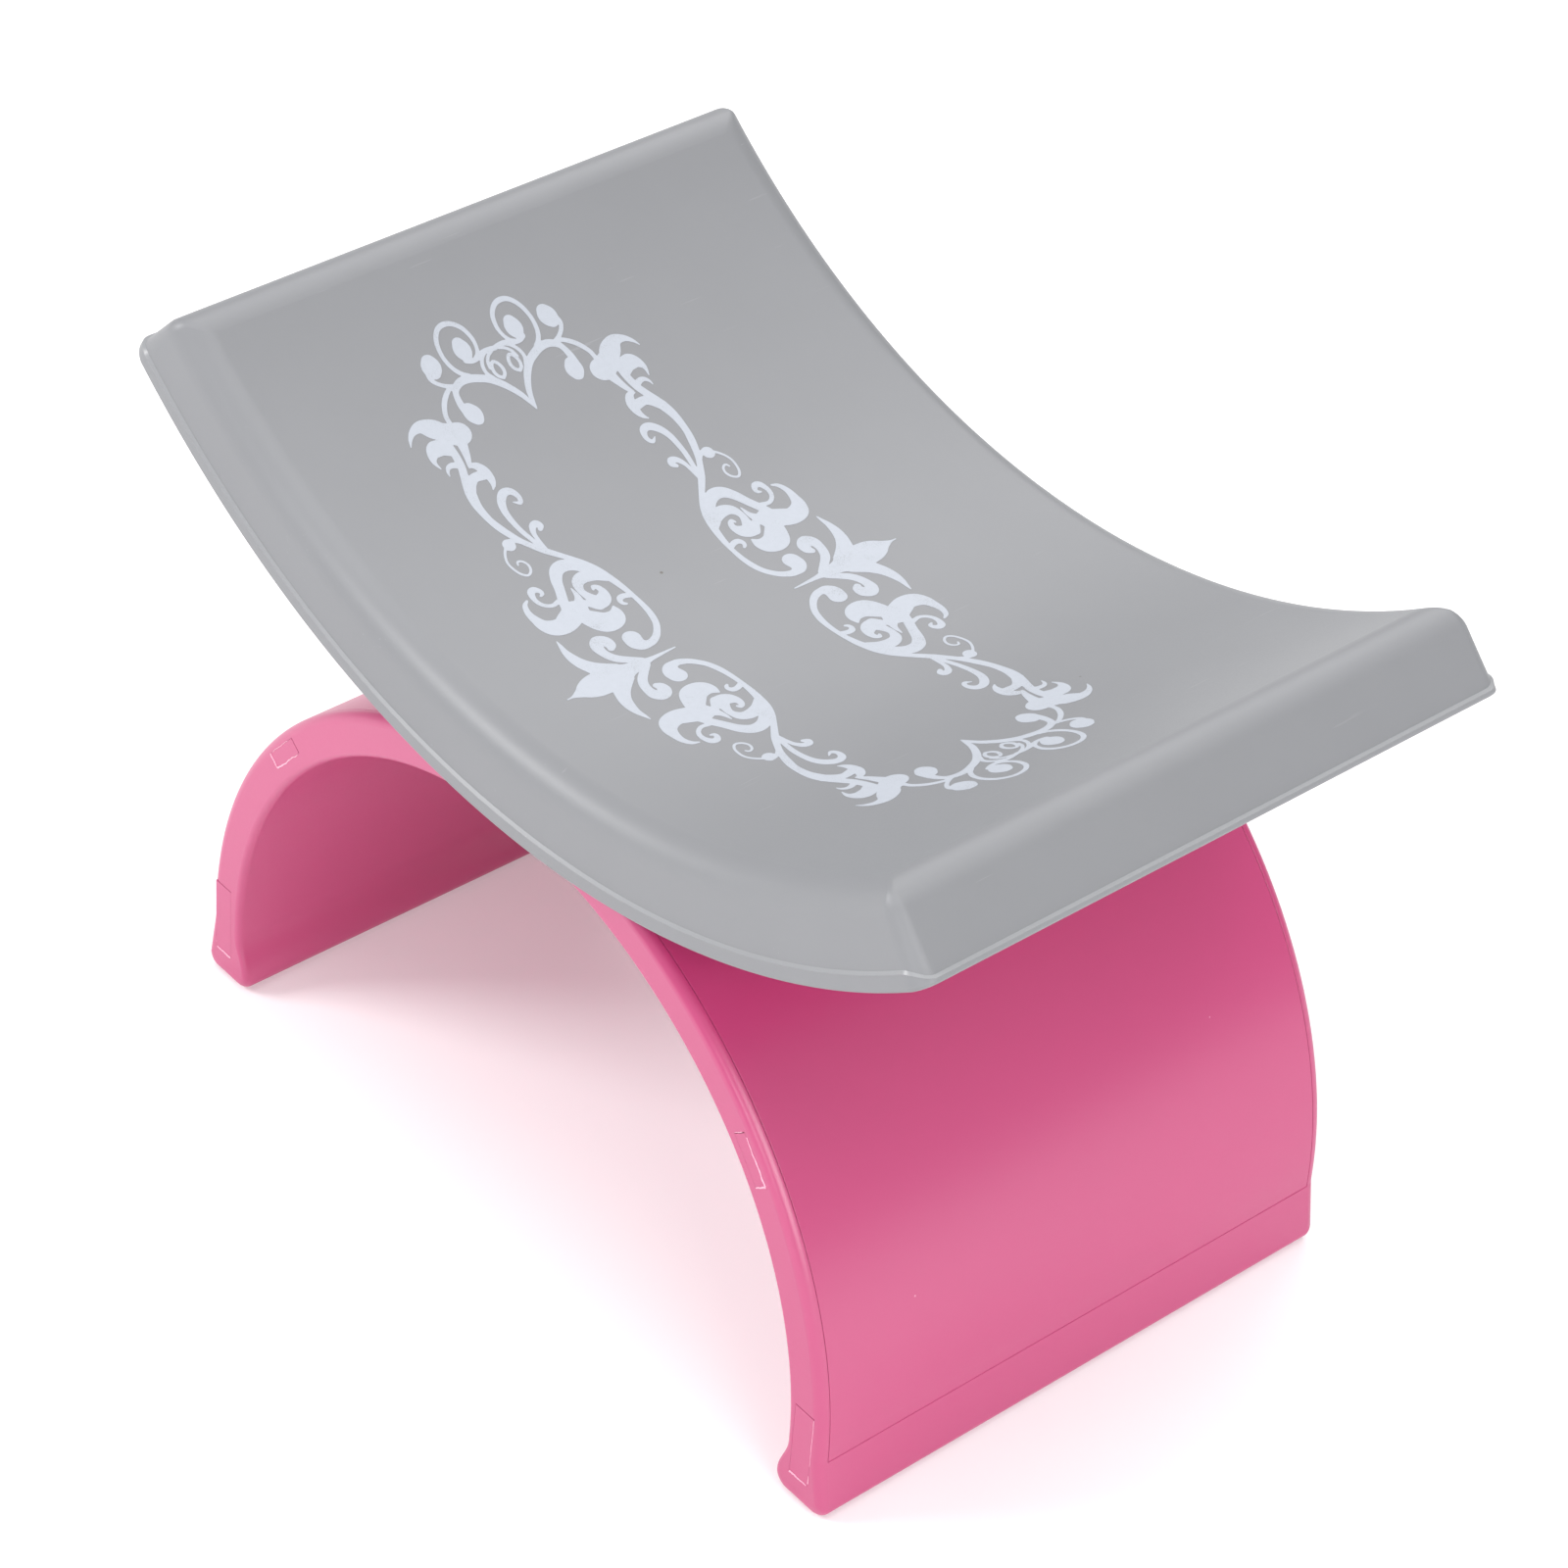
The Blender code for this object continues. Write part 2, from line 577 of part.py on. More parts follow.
def add_strip(bm, place_x, growth, low, high):
    """A strip, or with some growth the recess for it."""
    outline = strip_outline(STRIP_WIDTH + 2 * growth, STRIP_LENGTH + 2 * growth)
    add_loft(bm, [[(place_x + x, y, height) for x, y in outline] for height in (low, high)])


def make_arch_body(material):
    """Tunnel wall, rounded side walls, foot bands, toes and ribs in one moulding."""
    rings = []
    for side in (-1, 1):
        edge = []
        for across, inward in arc((0, 0), ARCH_EDGE_ROUND, 0.0, 90.0, SMALL_SEGMENTS):
            y = side * (ARCH_HALF_WIDTH - ARCH_EDGE_ROUND + across)
            edge.append([(x, y, z) for x, z in arch_outline(ARCH_EDGE_ROUND - inward)])
        rings += edge if side < 0 else list(reversed(edge))
    bm = bmesh.new()
    add_loft(bm, rings)
    body = new_piece("arch_body", bm, material)

    bm = bmesh.new()
    seat_half = ARCH_HALF_WIDTH - ARCH_RIM
    outline = plate_outline(CUT_OVERRUN, ARCH_PLATE + FIT_GAP, BAND_HEIGHT)
    add_prism(bm, outline, -seat_half, seat_half)
    combine(body, new_piece("plate_room", bm), "DIFFERENCE")
    bm = bmesh.new()
    add_arch_bays(bm)
    combine(body, new_piece("arch_bays", bm), "DIFFERENCE")
    bm = bmesh.new()
    add_windows(bm)
    combine(body, new_piece("hook_windows", bm), "DIFFERENCE")
    bm = bmesh.new()
    for side in (-1, 1):
        add_strip(bm, side * STRIP_PLACE, FIT_GAP, ARCH_BASE - CUT_OVERRUN, STRIP_THICKNESS + FIT_GAP)
    combine(body, new_piece("strip_recesses", bm), "DIFFERENCE")
    return body


def make_arch_cover(material):
    """Outer plate of the arch with its hooks, screw seats and screw holes."""
    plate_half = ARCH_HALF_WIDTH - ARCH_RIM - FIT_GAP
    bm = bmesh.new()
    add_prism(bm, plate_outline(0, ARCH_PLATE, BAND_HEIGHT + FIT_GAP), -plate_half, plate_half)
    cover = new_piece("arch_cover", bm, material)
    bm = bmesh.new()
    add_hook_lugs(bm)
    combine(cover, new_piece("cover_hook_lugs", bm), "UNION")
    bm = bmesh.new()
    add_hook_roots(bm)
    combine(cover, new_piece("cover_hook_roots", bm), "UNION")
    seats = bmesh.new()
    holes = bmesh.new()
    seat_top = SPRING_HEIGHT + PLATE_INNER_RADIUS
    hole_radius = SCREW_DIAMETER / 2 + FIT_GAP
    for place in screw_places():
        add_turned(seats, [(BOSS_DIAMETER / 2, SCREW_SEAT_HEIGHT), (BOSS_DIAMETER / 2, seat_top)], place)
        add_turned(holes, [(hole_radius, SCREW_SEAT_HEIGHT - CUT_OVERRUN),
                           (hole_radius, CROWN_HEIGHT + CUT_OVERRUN)], place)
    combine(cover, new_piece("screw_seats", seats), "UNION")
    combine(cover, new_piece("screw_holes", holes), "DIFFERENCE")
    return cover


def screw_mesh(material):
    """Pan-head screw about its own axis, with the seat of its head at zero height."""
    head_radius = SCREW_HEAD_DIAMETER / 2
    shaft_radius = SCREW_DIAMETER / 2
    dome = SCREW_HEAD_HEIGHT / 2
    seat_to_face = (SPRING_HEIGHT + math.sqrt(ARCH_RADIUS ** 2 - (SCREW_SPACING_X / 2) ** 2)
                    - SCREW_SEAT_HEIGHT)
    tip = seat_to_face + SCREW_ENGAGEMENT
    profile = [(head_radius + across, down - dome)
               for across, down in arc((-dome, 0), dome, -90.0, 0.0, SMALL_SEGMENTS)]
    profile += [(head_radius, 0), (shaft_radius, 0),
                (shaft_radius, tip - SCREW_DIAMETER), (shaft_radius / 3, tip)]
    bm = bmesh.new()
    add_turned(bm, profile)
    return new_mesh("crown_screw", bm, material)


def recess_mesh():
    """Cross-shaped driver recess of the same screw."""
    narrow, wide = SCREW_RECESS_WIDTH / 2, SCREW_RECESS_SPAN / 2
    quarter = [(narrow, wide), (narrow, narrow), (wide, narrow)]
    cross = []
    for turn in range(4):
        for x, y in quarter:
            for _ in range(turn):
                x, y = y, -x
            cross.append((x, y))
    low = -SCREW_HEAD_HEIGHT
    bm = bmesh.new()
    add_loft(bm, [[(x, y, height) for x, y in cross]
                  for height in (low - CUT_OVERRUN, low + SCREW_RECESS_DEPTH)])
    return new_mesh("screw_recess", bm)


def make_crown_screws(material):
    """Four screws, driven from inside the arch, that hold the tray on the outer plate."""
    mesh = screw_mesh(material)
    recess = recess_mesh()
    for number, (x, y) in enumerate(screw_places(), 1):
        seat = (x, y, SCREW_SEAT_HEIGHT - FIT_GAP)
        screw = place_mesh(f"crown_screw_{number}", mesh, seat)
        combine(screw, place_mesh(f"screw_recess_{number}", recess, seat), "DIFFERENCE")


def make_foot_strips(material):
    """Anti-slip strips that stand a little proud of the foot bottoms."""
    bm = bmesh.new()
    add_strip(bm, 0, 0, 0, STRIP_THICKNESS)
    mesh = new_mesh("foot_strip", bm, material)
    for side, name in ((-1, "foot_strip_left"), (1, "foot_strip_right")):
        place_mesh(name, mesh, (side * STRIP_PLACE, 0, 0))


def main():
    """Build every piece of the hand rest."""
    clear_scene()
    grey_silicone = finish("grey silicone", (0.38, 0.39, 0.405), 0.5)
    white_foam = finish("white foam", (0.78, 0.77, 0.73), 0.9)
    pink_plastic = finish("pink plastic", (0.68, 0.12, 0.28), 0.32)
    zinc_steel = finish("zinc-plated steel", (0.62, 0.63, 0.65), 0.35, 1.0)
    grey_rubber = finish("grey rubber", (0.3, 0.3, 0.31), 0.7)
    make_pad_cover(grey_silicone)
    make_pad_foam(white_foam)
    make_pad_tray(pink_plastic)
    make_arch_cover(pink_plastic)
    make_arch_body(pink_plastic)
    make_crown_screws(zinc_steel)
    make_foot_strips(grey_rubber)


main()
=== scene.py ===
"""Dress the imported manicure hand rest: soft-touch pad, screen print, moulded arch and studio.

Metres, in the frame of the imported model. X runs along the pad, Y through the tunnel of the
arch, and Z up from the table.
"""

import math
from collections import namedtuple

import bmesh
import bpy
from bpy.props import FloatProperty, FloatVectorProperty, IntProperty, PointerProperty
from bpy.types import Operator, Panel, PropertyGroup
from mathutils import Matrix, Vector
from mathutils.geometry import delaunay_2d_cdt


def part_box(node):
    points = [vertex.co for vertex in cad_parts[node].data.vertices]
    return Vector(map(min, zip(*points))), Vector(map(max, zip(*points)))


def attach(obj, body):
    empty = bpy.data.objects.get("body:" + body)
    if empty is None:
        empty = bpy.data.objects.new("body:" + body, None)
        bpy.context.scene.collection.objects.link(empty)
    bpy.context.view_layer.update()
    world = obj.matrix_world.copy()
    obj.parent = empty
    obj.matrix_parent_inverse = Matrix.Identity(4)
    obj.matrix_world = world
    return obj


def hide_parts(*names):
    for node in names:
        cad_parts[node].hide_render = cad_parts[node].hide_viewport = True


bl_info = {
    "name": "Manicure hand rest",
    "version": (1, 0, 0),
    "blender": (4, 5, 0),
    "location": "View3D > Sidebar > Hand rest",
    "description": "Builds the dressed hand rest round its packed model",
    "category": "Object",
}

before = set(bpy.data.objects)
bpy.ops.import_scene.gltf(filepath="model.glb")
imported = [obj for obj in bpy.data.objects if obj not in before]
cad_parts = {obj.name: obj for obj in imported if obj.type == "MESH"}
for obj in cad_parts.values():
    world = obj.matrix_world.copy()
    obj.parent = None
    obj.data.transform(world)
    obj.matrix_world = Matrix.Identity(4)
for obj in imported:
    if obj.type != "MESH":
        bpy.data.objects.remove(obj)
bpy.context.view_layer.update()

BODY = "root"
WELD_DISTANCE = 0.0000015        # points closer than this are one point
SIZE_TOLERANCE = 0.0006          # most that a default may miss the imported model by
SEAT_GAP = 0.0003                # air between two seated pieces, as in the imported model
CUT_OVERRUN = 0.002              # how far a cutter reaches past what it cuts
SHARP_ANGLE = math.radians(34)
MILLIMETRE = 0.001
PHOTO_SIDE = 1600                # pixels
SENSOR_WIDTH = 36.0              # millimetres


# Named sizes and colours

def length(name, default, description):
    """A size in metres."""
    return FloatProperty(name=name, description=description, default=default, precision=5,
                         unit="LENGTH", subtype="DISTANCE")


def share(name, default, description, **limits):
    """A number without a unit."""
    return FloatProperty(name=name, description=description, default=default, precision=3, **limits)


def turn(name, default, description):
    """An angle, given in degrees."""
    return FloatProperty(name=name, description=description, default=math.radians(default),
                         unit="ROTATION", subtype="ANGLE")


def watts(name, default, description):
    """The power of a light, in watts."""
    return FloatProperty(name=name, description=description, default=default, unit="POWER")


def whole(name, default, least, description):
    """A whole number."""
    return IntProperty(name=name, description=description, default=default, min=least)


def numbers(name, default, description, **kind):
    """Several numbers that belong together."""
    return FloatVectorProperty(name=name, description=description, default=default,
                               size=len(default), **kind)


def spot(name, default, description):
    """A place, in metres."""
    return numbers(name, default, description, precision=5, unit="LENGTH", subtype="XYZ")


def paint_colour(name, default, description):
    """A linear colour."""
    return numbers(name, default, description, min=0.0, max=1.0, subtype="COLOR")


class PadSizes(PropertyGroup):
    """Sizes of the pad, measured on its top surface."""

    reach: length("Length", 0.2185, "Length of the pad along its bend")
    width: length("Width", 0.1372, "Width of the pad")
    bend_radius: length("Bend radius", 0.1595, "Radius of the concave top")
    depth: length("Depth", 0.0187, "From the top down to the lower edge of the lip")
    edge_radius: length("Edge radius", 0.0064, "Rolled edge between the top and the skirt")
    corner_radius: length("Corner radius", 0.003, "Corners in plan, at the skirt")
    least_radius: length("Mitre radius", 0.0011, "Least corner radius on the rolled edge")
    skin: length("Skin", 0.0024, "Thickness of the silicone")
    flare: length("Skirt flare", 0.0006, "How far the skirt leans out down to the bead")
    bead_proud: length("Bead height", 0.0005, "How far the bead stands out of the skirt")
    bead_width: length("Bead width", 0.0006, "Height of the bead's sloping ledge")
    bead_rise_side: length("Bead rise, sides", 0.0038, "Bead above the lower edge, long sides")
    bead_rise_end: length("Bead rise, ends", 0.0014, "Bead above the lower edge, ends")
    band_step: length("Band step", 0.0001, "How far the band below the bead steps in")
    lip_thickness: length("Lip thickness", 0.0037, "Thickness of the lip below the tray")
    lip_reach: length("Lip reach", 0.0012, "How far the lip reaches in past the skin")
    lip_round: length("Lip rounding", 0.0008, "Rounding of the lip's outer lower edge")
    foam: length("Foam", 0.0045, "Thickness of the foam insert")
    steps_along: whole("Steps along", 96, 8, "Faces along each long side")
    steps_round: whole("Steps round", 12, 3, "Faces round each rolled edge")
    silicone: paint_colour("Silicone", (0.222, 0.2255, 0.2375), "Soft-touch silicone")
    # Lighter silicone on the bead's sloping ledge: a painted highlight, with a little more gloss.
    bead_highlight_silicone: paint_colour("Silicone with painted highlight", (0.275, 0.28, 0.292), "Bead ledge, lighter as a painted highlight")
    silicone_speck: paint_colour("Specks", (0.1, 0.085, 0.07), "Dark specks in the silicone")
    foam_colour: paint_colour("Foam colour", (0.78, 0.77, 0.73), "Foam insert")


class PrintSizes(PropertyGroup):
    """Screen print on the top of the pad."""

    middle: spot("Middle", (-0.00365, -0.0104), "Middle of the frame on the pad")
    turn: turn("Turn", 0.63, "How far the frame is turned on the pad")
    lean: share("Lean", 0.0167, "How far the frame leans over, as a share of its height")
    slip_along: numbers("Slip along", (0.03, 0.65, -0.16, -0.66, 0.89, -0.5),
                        "Stretch of the print along the pad, in millimetres")
    slip_across: numbers("Slip across", (0.03, -0.1, -0.1, 0.65, -0.21, -1.04),
                         "Stretch of the print across it, in millimetres")
    height: length("Height", 0.00005, "Top of the ink above the pad")
    lift: length("Lift", 0.000004, "Underside of the ink above the pad")
    grid: length("Grid", 0.0002, "Fineness of the drawing")
    smoothness: length("Smoothness", 0.00001, "Most that a border may be simplified by")
    ink: paint_colour("Ink", (0.42, 0.445, 0.495), "Bluish white screen ink")
    wear: share("Wear", 0.5, "Pin-holes in the ink", min=0.0, max=1.0)


class ArchSizes(PropertyGroup):
    """Sizes of the two-shell arch."""

    radius: length("Radius", 0.0952, "Outside radius")
    thickness: length("Thickness", 0.0091, "From the outer face to the tunnel")
    foot_height: length("Foot height", 0.0141, "Straight foot below the half circle")
    foot_flare: length("Foot flare", 0.0018, "How far the foot leans out at the floor")
    foot_band: length("Foot band", 0.0134, "Height of the band below the outer plate")
    foot_round: length("Foot rounding", 0.0022, "Outer lower edge of the foot")
    toe_flare: length("Toe flare", 0.0024, "How far the toe swells into the tunnel")
    toe_height: length("Toe height", 0.0132, "Height of the swelling")
    toe_round: length("Toe rounding", 0.0028, "Lower edge of the toe")
    edge_round: length("Side rounding", 0.0022, "Outer edges of the side faces")
    inner_round: length("Inner rounding", 0.0014, "Edges of the side faces round the tunnel")
    rim: length("Rim", 0.0024, "Side wall beside the outer plate")
    side_wall: length("Side wall", 0.0032, "Thickness of the side walls")
    plate: length("Plate", 0.0025, "Thickness of the outer plate")
    tunnel_wall: length("Tunnel wall", 0.0022, "Thickness of the tunnel's wall")
    foot_floor: length("Foot floor", 0.0024, "Thickness of the foot bottoms")
    rib: length("Rib", 0.002, "Thickness of the ribs inside the arch")
    rib_offset: turn("Rib offset", 14.0, "From a hook to the ribs beside it")
    hook_angle: turn("Hook angle", 50.7, "From the crown to the shoulder hooks")
    hook_length: length("Hook length", 0.0108, "Shoulder hooks, along the arch")
    hook_arm: length("Hook arm", 0.0016, "Thickness of the arms of the hooks")
    hook_lap: length("Hook lap", 0.0006, "How far a window cuts in behind the side wall")
    foot_hook_length: length("Foot hook length", 0.0177, "Foot hooks, up the leg")
    foot_hook_base: length("Foot hook base", 0.0065, "Foot hooks above the foot bottom")
    hook_gap: length("Hook gap", 0.00005, "Air round a hook in its window")
    hook_end_gap: length("Hook end gap", 0.0002, "Air at the upper end of a hook")
    hook_drift: share("Hook drift", 0.04, "Windows on each leg off their place, in arch thicknesses")
    seam_gap: length("Seam gap", 0.00008, "Air round the outer plate")
    seam_round: length("Seam rounding", 0.0001, "Edges on both sides of the seams")
    flash_radius: length("Flash radius", 0.0002, "Thin moulding flash round the hooks")
    steps: whole("Steps", 64, 8, "Faces on each quarter of the arch")
    pink: paint_colour("Pink", (0.468, 0.0395, 0.157), "Semi-gloss moulded plastic")
    dust: paint_colour("Dust", (0.85, 0.62, 0.7), "Pale dust on the plastic")
    # Lighter than the pink: a painted highlight on the threads of flash.
    flash: paint_colour("Flash colour", (0.8, 0.42, 0.54), "Lighter flash, a painted highlight")


class FittingSizes(PropertyGroup):
    """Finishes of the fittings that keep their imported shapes."""

    zinc: paint_colour("Zinc", (0.62, 0.63, 0.65), "Zinc plating of the screws")
    rubber: paint_colour("Rubber", (0.3, 0.3, 0.31), "Anti-slip strips")


class StageSettings(PropertyGroup):
    """Camera, floor and lights."""

    azimuth: turn("Azimuth", 46.708, "Camera round the hand rest, from the front")
    elevation: turn("Elevation", 39.048, "Camera above the horizon")
    roll: turn("Roll", 4.949, "Camera about its own axis")
    distance: length("Distance", 1.00481, "Camera to the point that it looks at")
    focal_pixels: share("Focal length", 5288.91, "In pixels of the square photograph")
    target: spot("Target", (-0.00617, 0.00803, 0.07338), "Point that the camera looks at")
    floor: paint_colour("Floor", (0.8, 0.8, 0.805), "Plain pale floor")
    floor_side: length("Floor side", 9.0, "Side of the square floor")
    floor_glow: share("Floor glow", 0.23, "Light that comes through the translucent floor")
    key_power: watts("Key light", 37.0, "Large light at the front left")
    top_power: watts("Top light", 30.0, "Large light overhead")
    fill_power: watts("Fill light", 27.0, "Soft light from the right")
    back_power: watts("Back light", 18.0, "Soft light from behind on the left")
    front_power: watts("Front light", 4.0, "Small low light at the front right")
    sky: share("Surroundings", 0.34, "Brightness of the white surroundings")


class HandRestSettings(PropertyGroup):
    """All settings of the hand rest."""

    pad: PointerProperty(type=PadSizes)
    print: PointerProperty(type=PrintSizes)
    arch: PointerProperty(type=ArchSizes)
    fittings: PointerProperty(type=FittingSizes)
    stage: PointerProperty(type=StageSettings)


# Shader maths

class Wire:
    """An output socket that takes part in Python sums, each of which adds its Math node."""

    def __init__(self, paint, socket):
        self.paint = paint
        self.socket = socket

    def sum(self, operation, *values):
        """Add a Math node on this wire's material."""
        return self.paint.node("ShaderNodeMath", {"operation": operation},
                               dict(enumerate(values)))

    def __add__(self, other):
        return self.sum("ADD", self, other)

    def __radd__(self, other):
        return self.sum("ADD", other, self)

    def __sub__(self, other):
        return self.sum("SUBTRACT", self, other)

    def __rsub__(self, other):
        return self.sum("SUBTRACT", other, self)

    def __mul__(self, other):
        return self.sum("MULTIPLY", self, other)

    def above(self, edge, softness):
        """Zero below an edge, one above it, and a soft step between."""
        return self.paint.node("ShaderNodeMapRange", {"interpolation_type": "SMOOTHSTEP"},
                               {"Value": self, "From Min": edge - softness,
                                "From Max": edge + softness})


class Paint:
    """A material under construction, round its Principled shader."""

    def __init__(self, name, **constants):
        self.material = bpy.data.materials.new(name)
        self.material.use_nodes = True
        self.tree = self.material.node_tree
        self.shader = self.tree.nodes["Principled BSDF"]
        self.where = self.place()
        self.finish(**constants)

    def feed(self, socket, value):
        """Link a wire to a socket, or set the socket to a number, a colour or several numbers."""
        if isinstance(value, Wire):
            self.tree.links.new(value.socket, socket)
        elif hasattr(value, "__len__"):
            socket.default_value = (list(value) + [1.0])[:len(socket.default_value)]
        else:
            socket.default_value = value

    def node(self, kind, settings=None, values=None, output=0):
        """Add a node: its settings first, then the values or links of its sockets."""
        made = self.tree.nodes.new(kind)
        for name, value in (settings or {}).items():
            setattr(made, name, value)
        for key, value in (values or {}).items():
            self.feed(made.inputs[key], value)
        return Wire(self, made.outputs[output])

    def mix(self, factor, low, high):
        """Mix two colours, through the sockets that a colour mix has at these numbers."""
        return self.node("ShaderNodeMix", {"data_type": "RGBA"}, {0: factor, 6: low, 7: high}, 2)

    def place(self, stretch=(1.0, 1.0, 1.0), spin=(0.0, 0.0, 0.0)):
        """Object coordinates, stretched and turned."""
        where = self.node("ShaderNodeTexCoord", output="Object")
        return self.node("ShaderNodeMapping", None,
                         {"Vector": where, "Scale": stretch, "Rotation": spin})

    def noise(self, scale, detail=2.0, roughness=0.5, where=None):
        """Noise from zero to one; the scale is in waves to the metre."""
        return self.node("ShaderNodeTexNoise", None,
                         {"Vector": where or self.where, "Scale": scale, "Detail": detail,
                          "Roughness": roughness})

    def cells(self, scale, output="Distance"):
        """Distance to the nearest of many scattered points, or that point's own colour."""
        return self.node("ShaderNodeTexVoronoi", None, {"Vector": self.where, "Scale": scale}, output)

    def specks(self, scale, radius, kept):
        """Mask of small round specks on a share of the scattered points."""
        near = 1 - self.cells(scale).above(radius, radius / 3)
        pick = self.node("ShaderNodeSeparateColor", None, {"Color": self.cells(scale, "Color")})
        return near * pick.above(1 - kept, 0.01)

    def bump(self, height, distance):
        """Surface normal from a height wire; the distance is the height of one, in metres."""
        return self.node("ShaderNodeBump", None, {"Height": height, "Distance": distance})

    def finish(self, **values):
        """Feed sockets of the shader, whose names have underscores here instead of spaces."""
        for words, value in values.items():
            name = words.replace("_", " ").title().replace("Ior", "IOR")
            self.feed(self.shader.inputs[name], value)
        return self.material


def shades(colour, *factors):
    """Darker and lighter shades of a colour."""
    return [[min(1.0, channel * factor) for channel in colour] for factor in factors]


def silicone_paint(pad, name, colour, gloss):
    """Soft-touch silicone with a fine grain, faint mottling, dark specks and pale scuffs."""
    paint = Paint(name, specular_ior_level=0.42)
    grain = paint.noise(2600.0, 2.0, 0.6)
    mottle = paint.noise(42.0, 4.0, 0.55)
    stretched = paint.place((1.0, 0.035, 1.0), (0.0, 0.0, math.radians(28)))
    lines = paint.noise(1500.0, 1.0, where=stretched)
    patches = paint.noise(60.0, 1.0)
    scuffs = lines.above(0.74, 0.02) * patches.above(0.6, 0.05)
    specks = paint.specks(52.0, radius=0.017, kept=0.16)
    shade = paint.mix(mottle, *shades(colour, 0.965, 1.035))
    shade = paint.mix(scuffs * 0.22, shade, *shades(colour, 1.5))
    shade = paint.mix(specks * 0.8, shade, pad.silicone_speck)
    height = grain * 0.5 + mottle * 0.6
    return paint.finish(base_color=shade, roughness=0.4 - gloss + grain * 0.1 - scuffs * 0.05,
                        normal=paint.bump(height, 0.00002))


def ink_paint(pad, ink, wear):
    """Bluish white screen ink with pin-holes and worn patches."""
    paint = Paint("screen_ink", specular_ior_level=0.4)
    crumbs = paint.noise(5200.0, 3.0, 0.7)
    patches = paint.noise(150.0, 3.0, 0.6)
    worn = (crumbs + patches * 0.5).above(0.96 - wear * 0.1, 0.05)
    tone = paint.noise(900.0)
    shade = paint.mix(tone, *shades(ink, 0.96, 1.03))
    shade = paint.mix(worn * 0.6, shade, pad.silicone)
    return paint.finish(base_color=shade, roughness=0.46 + crumbs * 0.12,
                        normal=paint.bump(crumbs, 0.00001))


def plastic_paint(arch):
    """Semi-gloss moulded plastic with a faint skin, flow shading and dust."""
    paint = Paint("pink_moulded_plastic", specular_ior_level=1.0)
    skin = paint.noise(1500.0)
    flow = paint.noise(26.0, 3.0, where=paint.place((1.0, 0.35, 1.0)))
    dust = paint.specks(120.0, radius=0.022, kept=0.1)
    shade = paint.mix(flow, *shades(arch.pink, 0.97, 1.03))
    shade = paint.mix(dust * 0.4, shade, arch.dust)
    return paint.finish(base_color=shade, roughness=0.3 + skin * 0.08 + flow * 0.03,
                        normal=paint.bump(skin * 0.6 + flow, 0.000012))


def flash_highlight_paint(colour):
    """Thin flash plastic in a lighter pink: a painted highlight along the borders of the hooks."""
    paint = Paint("whitened_flash")
    tone = paint.noise(3000.0)
    shade = paint.mix(tone, *shades(colour, 0.85, 1.1))
    return paint.finish(base_color=shade, roughness=0.32 + tone * 0.15)


def foam_paint(colour):
    """Open-cell foam, with painted shade in its pores."""
    paint = Paint("white_open_cell_foam", specular_ior_level=0.2)
    pores = paint.cells(1400.0)
    tone = paint.noise(90.0, 3.0)
    shade = paint.mix(tone, *shades(colour, 0.93, 1.0))
    # Painted shade: the colour darkens towards the middle of each pore.
    shade = paint.mix(1 - pores.above(0.3, 0.15), shade, *shades(colour, 0.7))
    return paint.finish(base_color=shade, roughness=0.85 + tone * 0.1,
                        normal=paint.bump(pores, 0.00025))


def zinc_paint(colour):
    """Zinc plating with a faint spangle and turning marks."""
    paint = Paint("zinc_plating", metallic=1.0)
    spangle = paint.cells(700.0)
    marks = paint.noise(900.0, where=paint.place((1.0, 1.0, 12.0)))
    shade = paint.mix(spangle, *shades(colour, 0.8, 1.0))
    return paint.finish(base_color=shade, roughness=0.28 + spangle * 0.14 + marks * 0.06,
                        normal=paint.bump(marks, 0.00001))


def rubber_paint(colour):
    """Matte moulded rubber with a fine cross grain."""
    paint = Paint("grey_strip_rubber", specular_ior_level=0.35)
    grain = paint.noise(1800.0, 3.0, 0.65)
    tone = paint.noise(80.0)
    shade = paint.mix(tone, *shades(colour, 0.88, 1.1))
    return paint.finish(base_color=shade, roughness=0.66 + grain * 0.16,
                        normal=paint.bump(grain, 0.00004))


def floor_paint(colour, glow):
    """Matte translucent studio table, lit from below."""
    paint = Paint("studio_table", specular_ior_level=0.15, emission_color=(1.0, 1.0, 1.0),
                  emission_strength=glow)
    tone = paint.noise(3.0)
    shade = paint.mix(tone, *shades(colour, 0.995, 1.0))
    return paint.finish(base_color=shade, roughness=0.8 + tone * 0.05)


# Mesh making

def arc(centre, radius, start, end, steps):
    """Points on an arc, with angles in degrees from the first axis to the second."""
    angles = [math.radians(start + (end - start) * step / steps) for step in range(steps + 1)]
    return [(centre[0] + radius * math.cos(angle), centre[1] + radius * math.sin(angle))
            for angle in angles]


def loft(bm, rings):
    """Join rings of equal counts with quads, and return their vertices."""
    loops = [[bm.verts.new(point) for point in ring] for ring in rings]
    for lower, upper in zip(loops, loops[1:]):
        count = len(lower)
        for index in range(count):
            after = (index + 1) % count
            bm.faces.new((lower[index], lower[after], upper[after], upper[index]))
    return loops


def capped_loft(bm, rings):
    """Loft rings and close both ends with one face each."""
    loops = loft(bm, rings)
    bm.faces.new(list(reversed(loops[0])))
    bm.faces.new(loops[-1])


def tidy_mesh(name, bm):
    """Weld and orient a mesh under construction, and store it."""
    bmesh.ops.remove_doubles(bm, verts=bm.verts[:], dist=WELD_DISTANCE)
    bmesh.ops.recalc_face_normals(bm, faces=bm.faces[:])
    mesh = bpy.data.meshes.new(name)
    bm.to_mesh(mesh)
    bm.free()
    return mesh


def place_piece(name, mesh):
    """Link an object that uses a mesh."""
    piece = bpy.data.objects.new(name, mesh)
    bpy.context.scene.collection.objects.link(piece)
    return piece


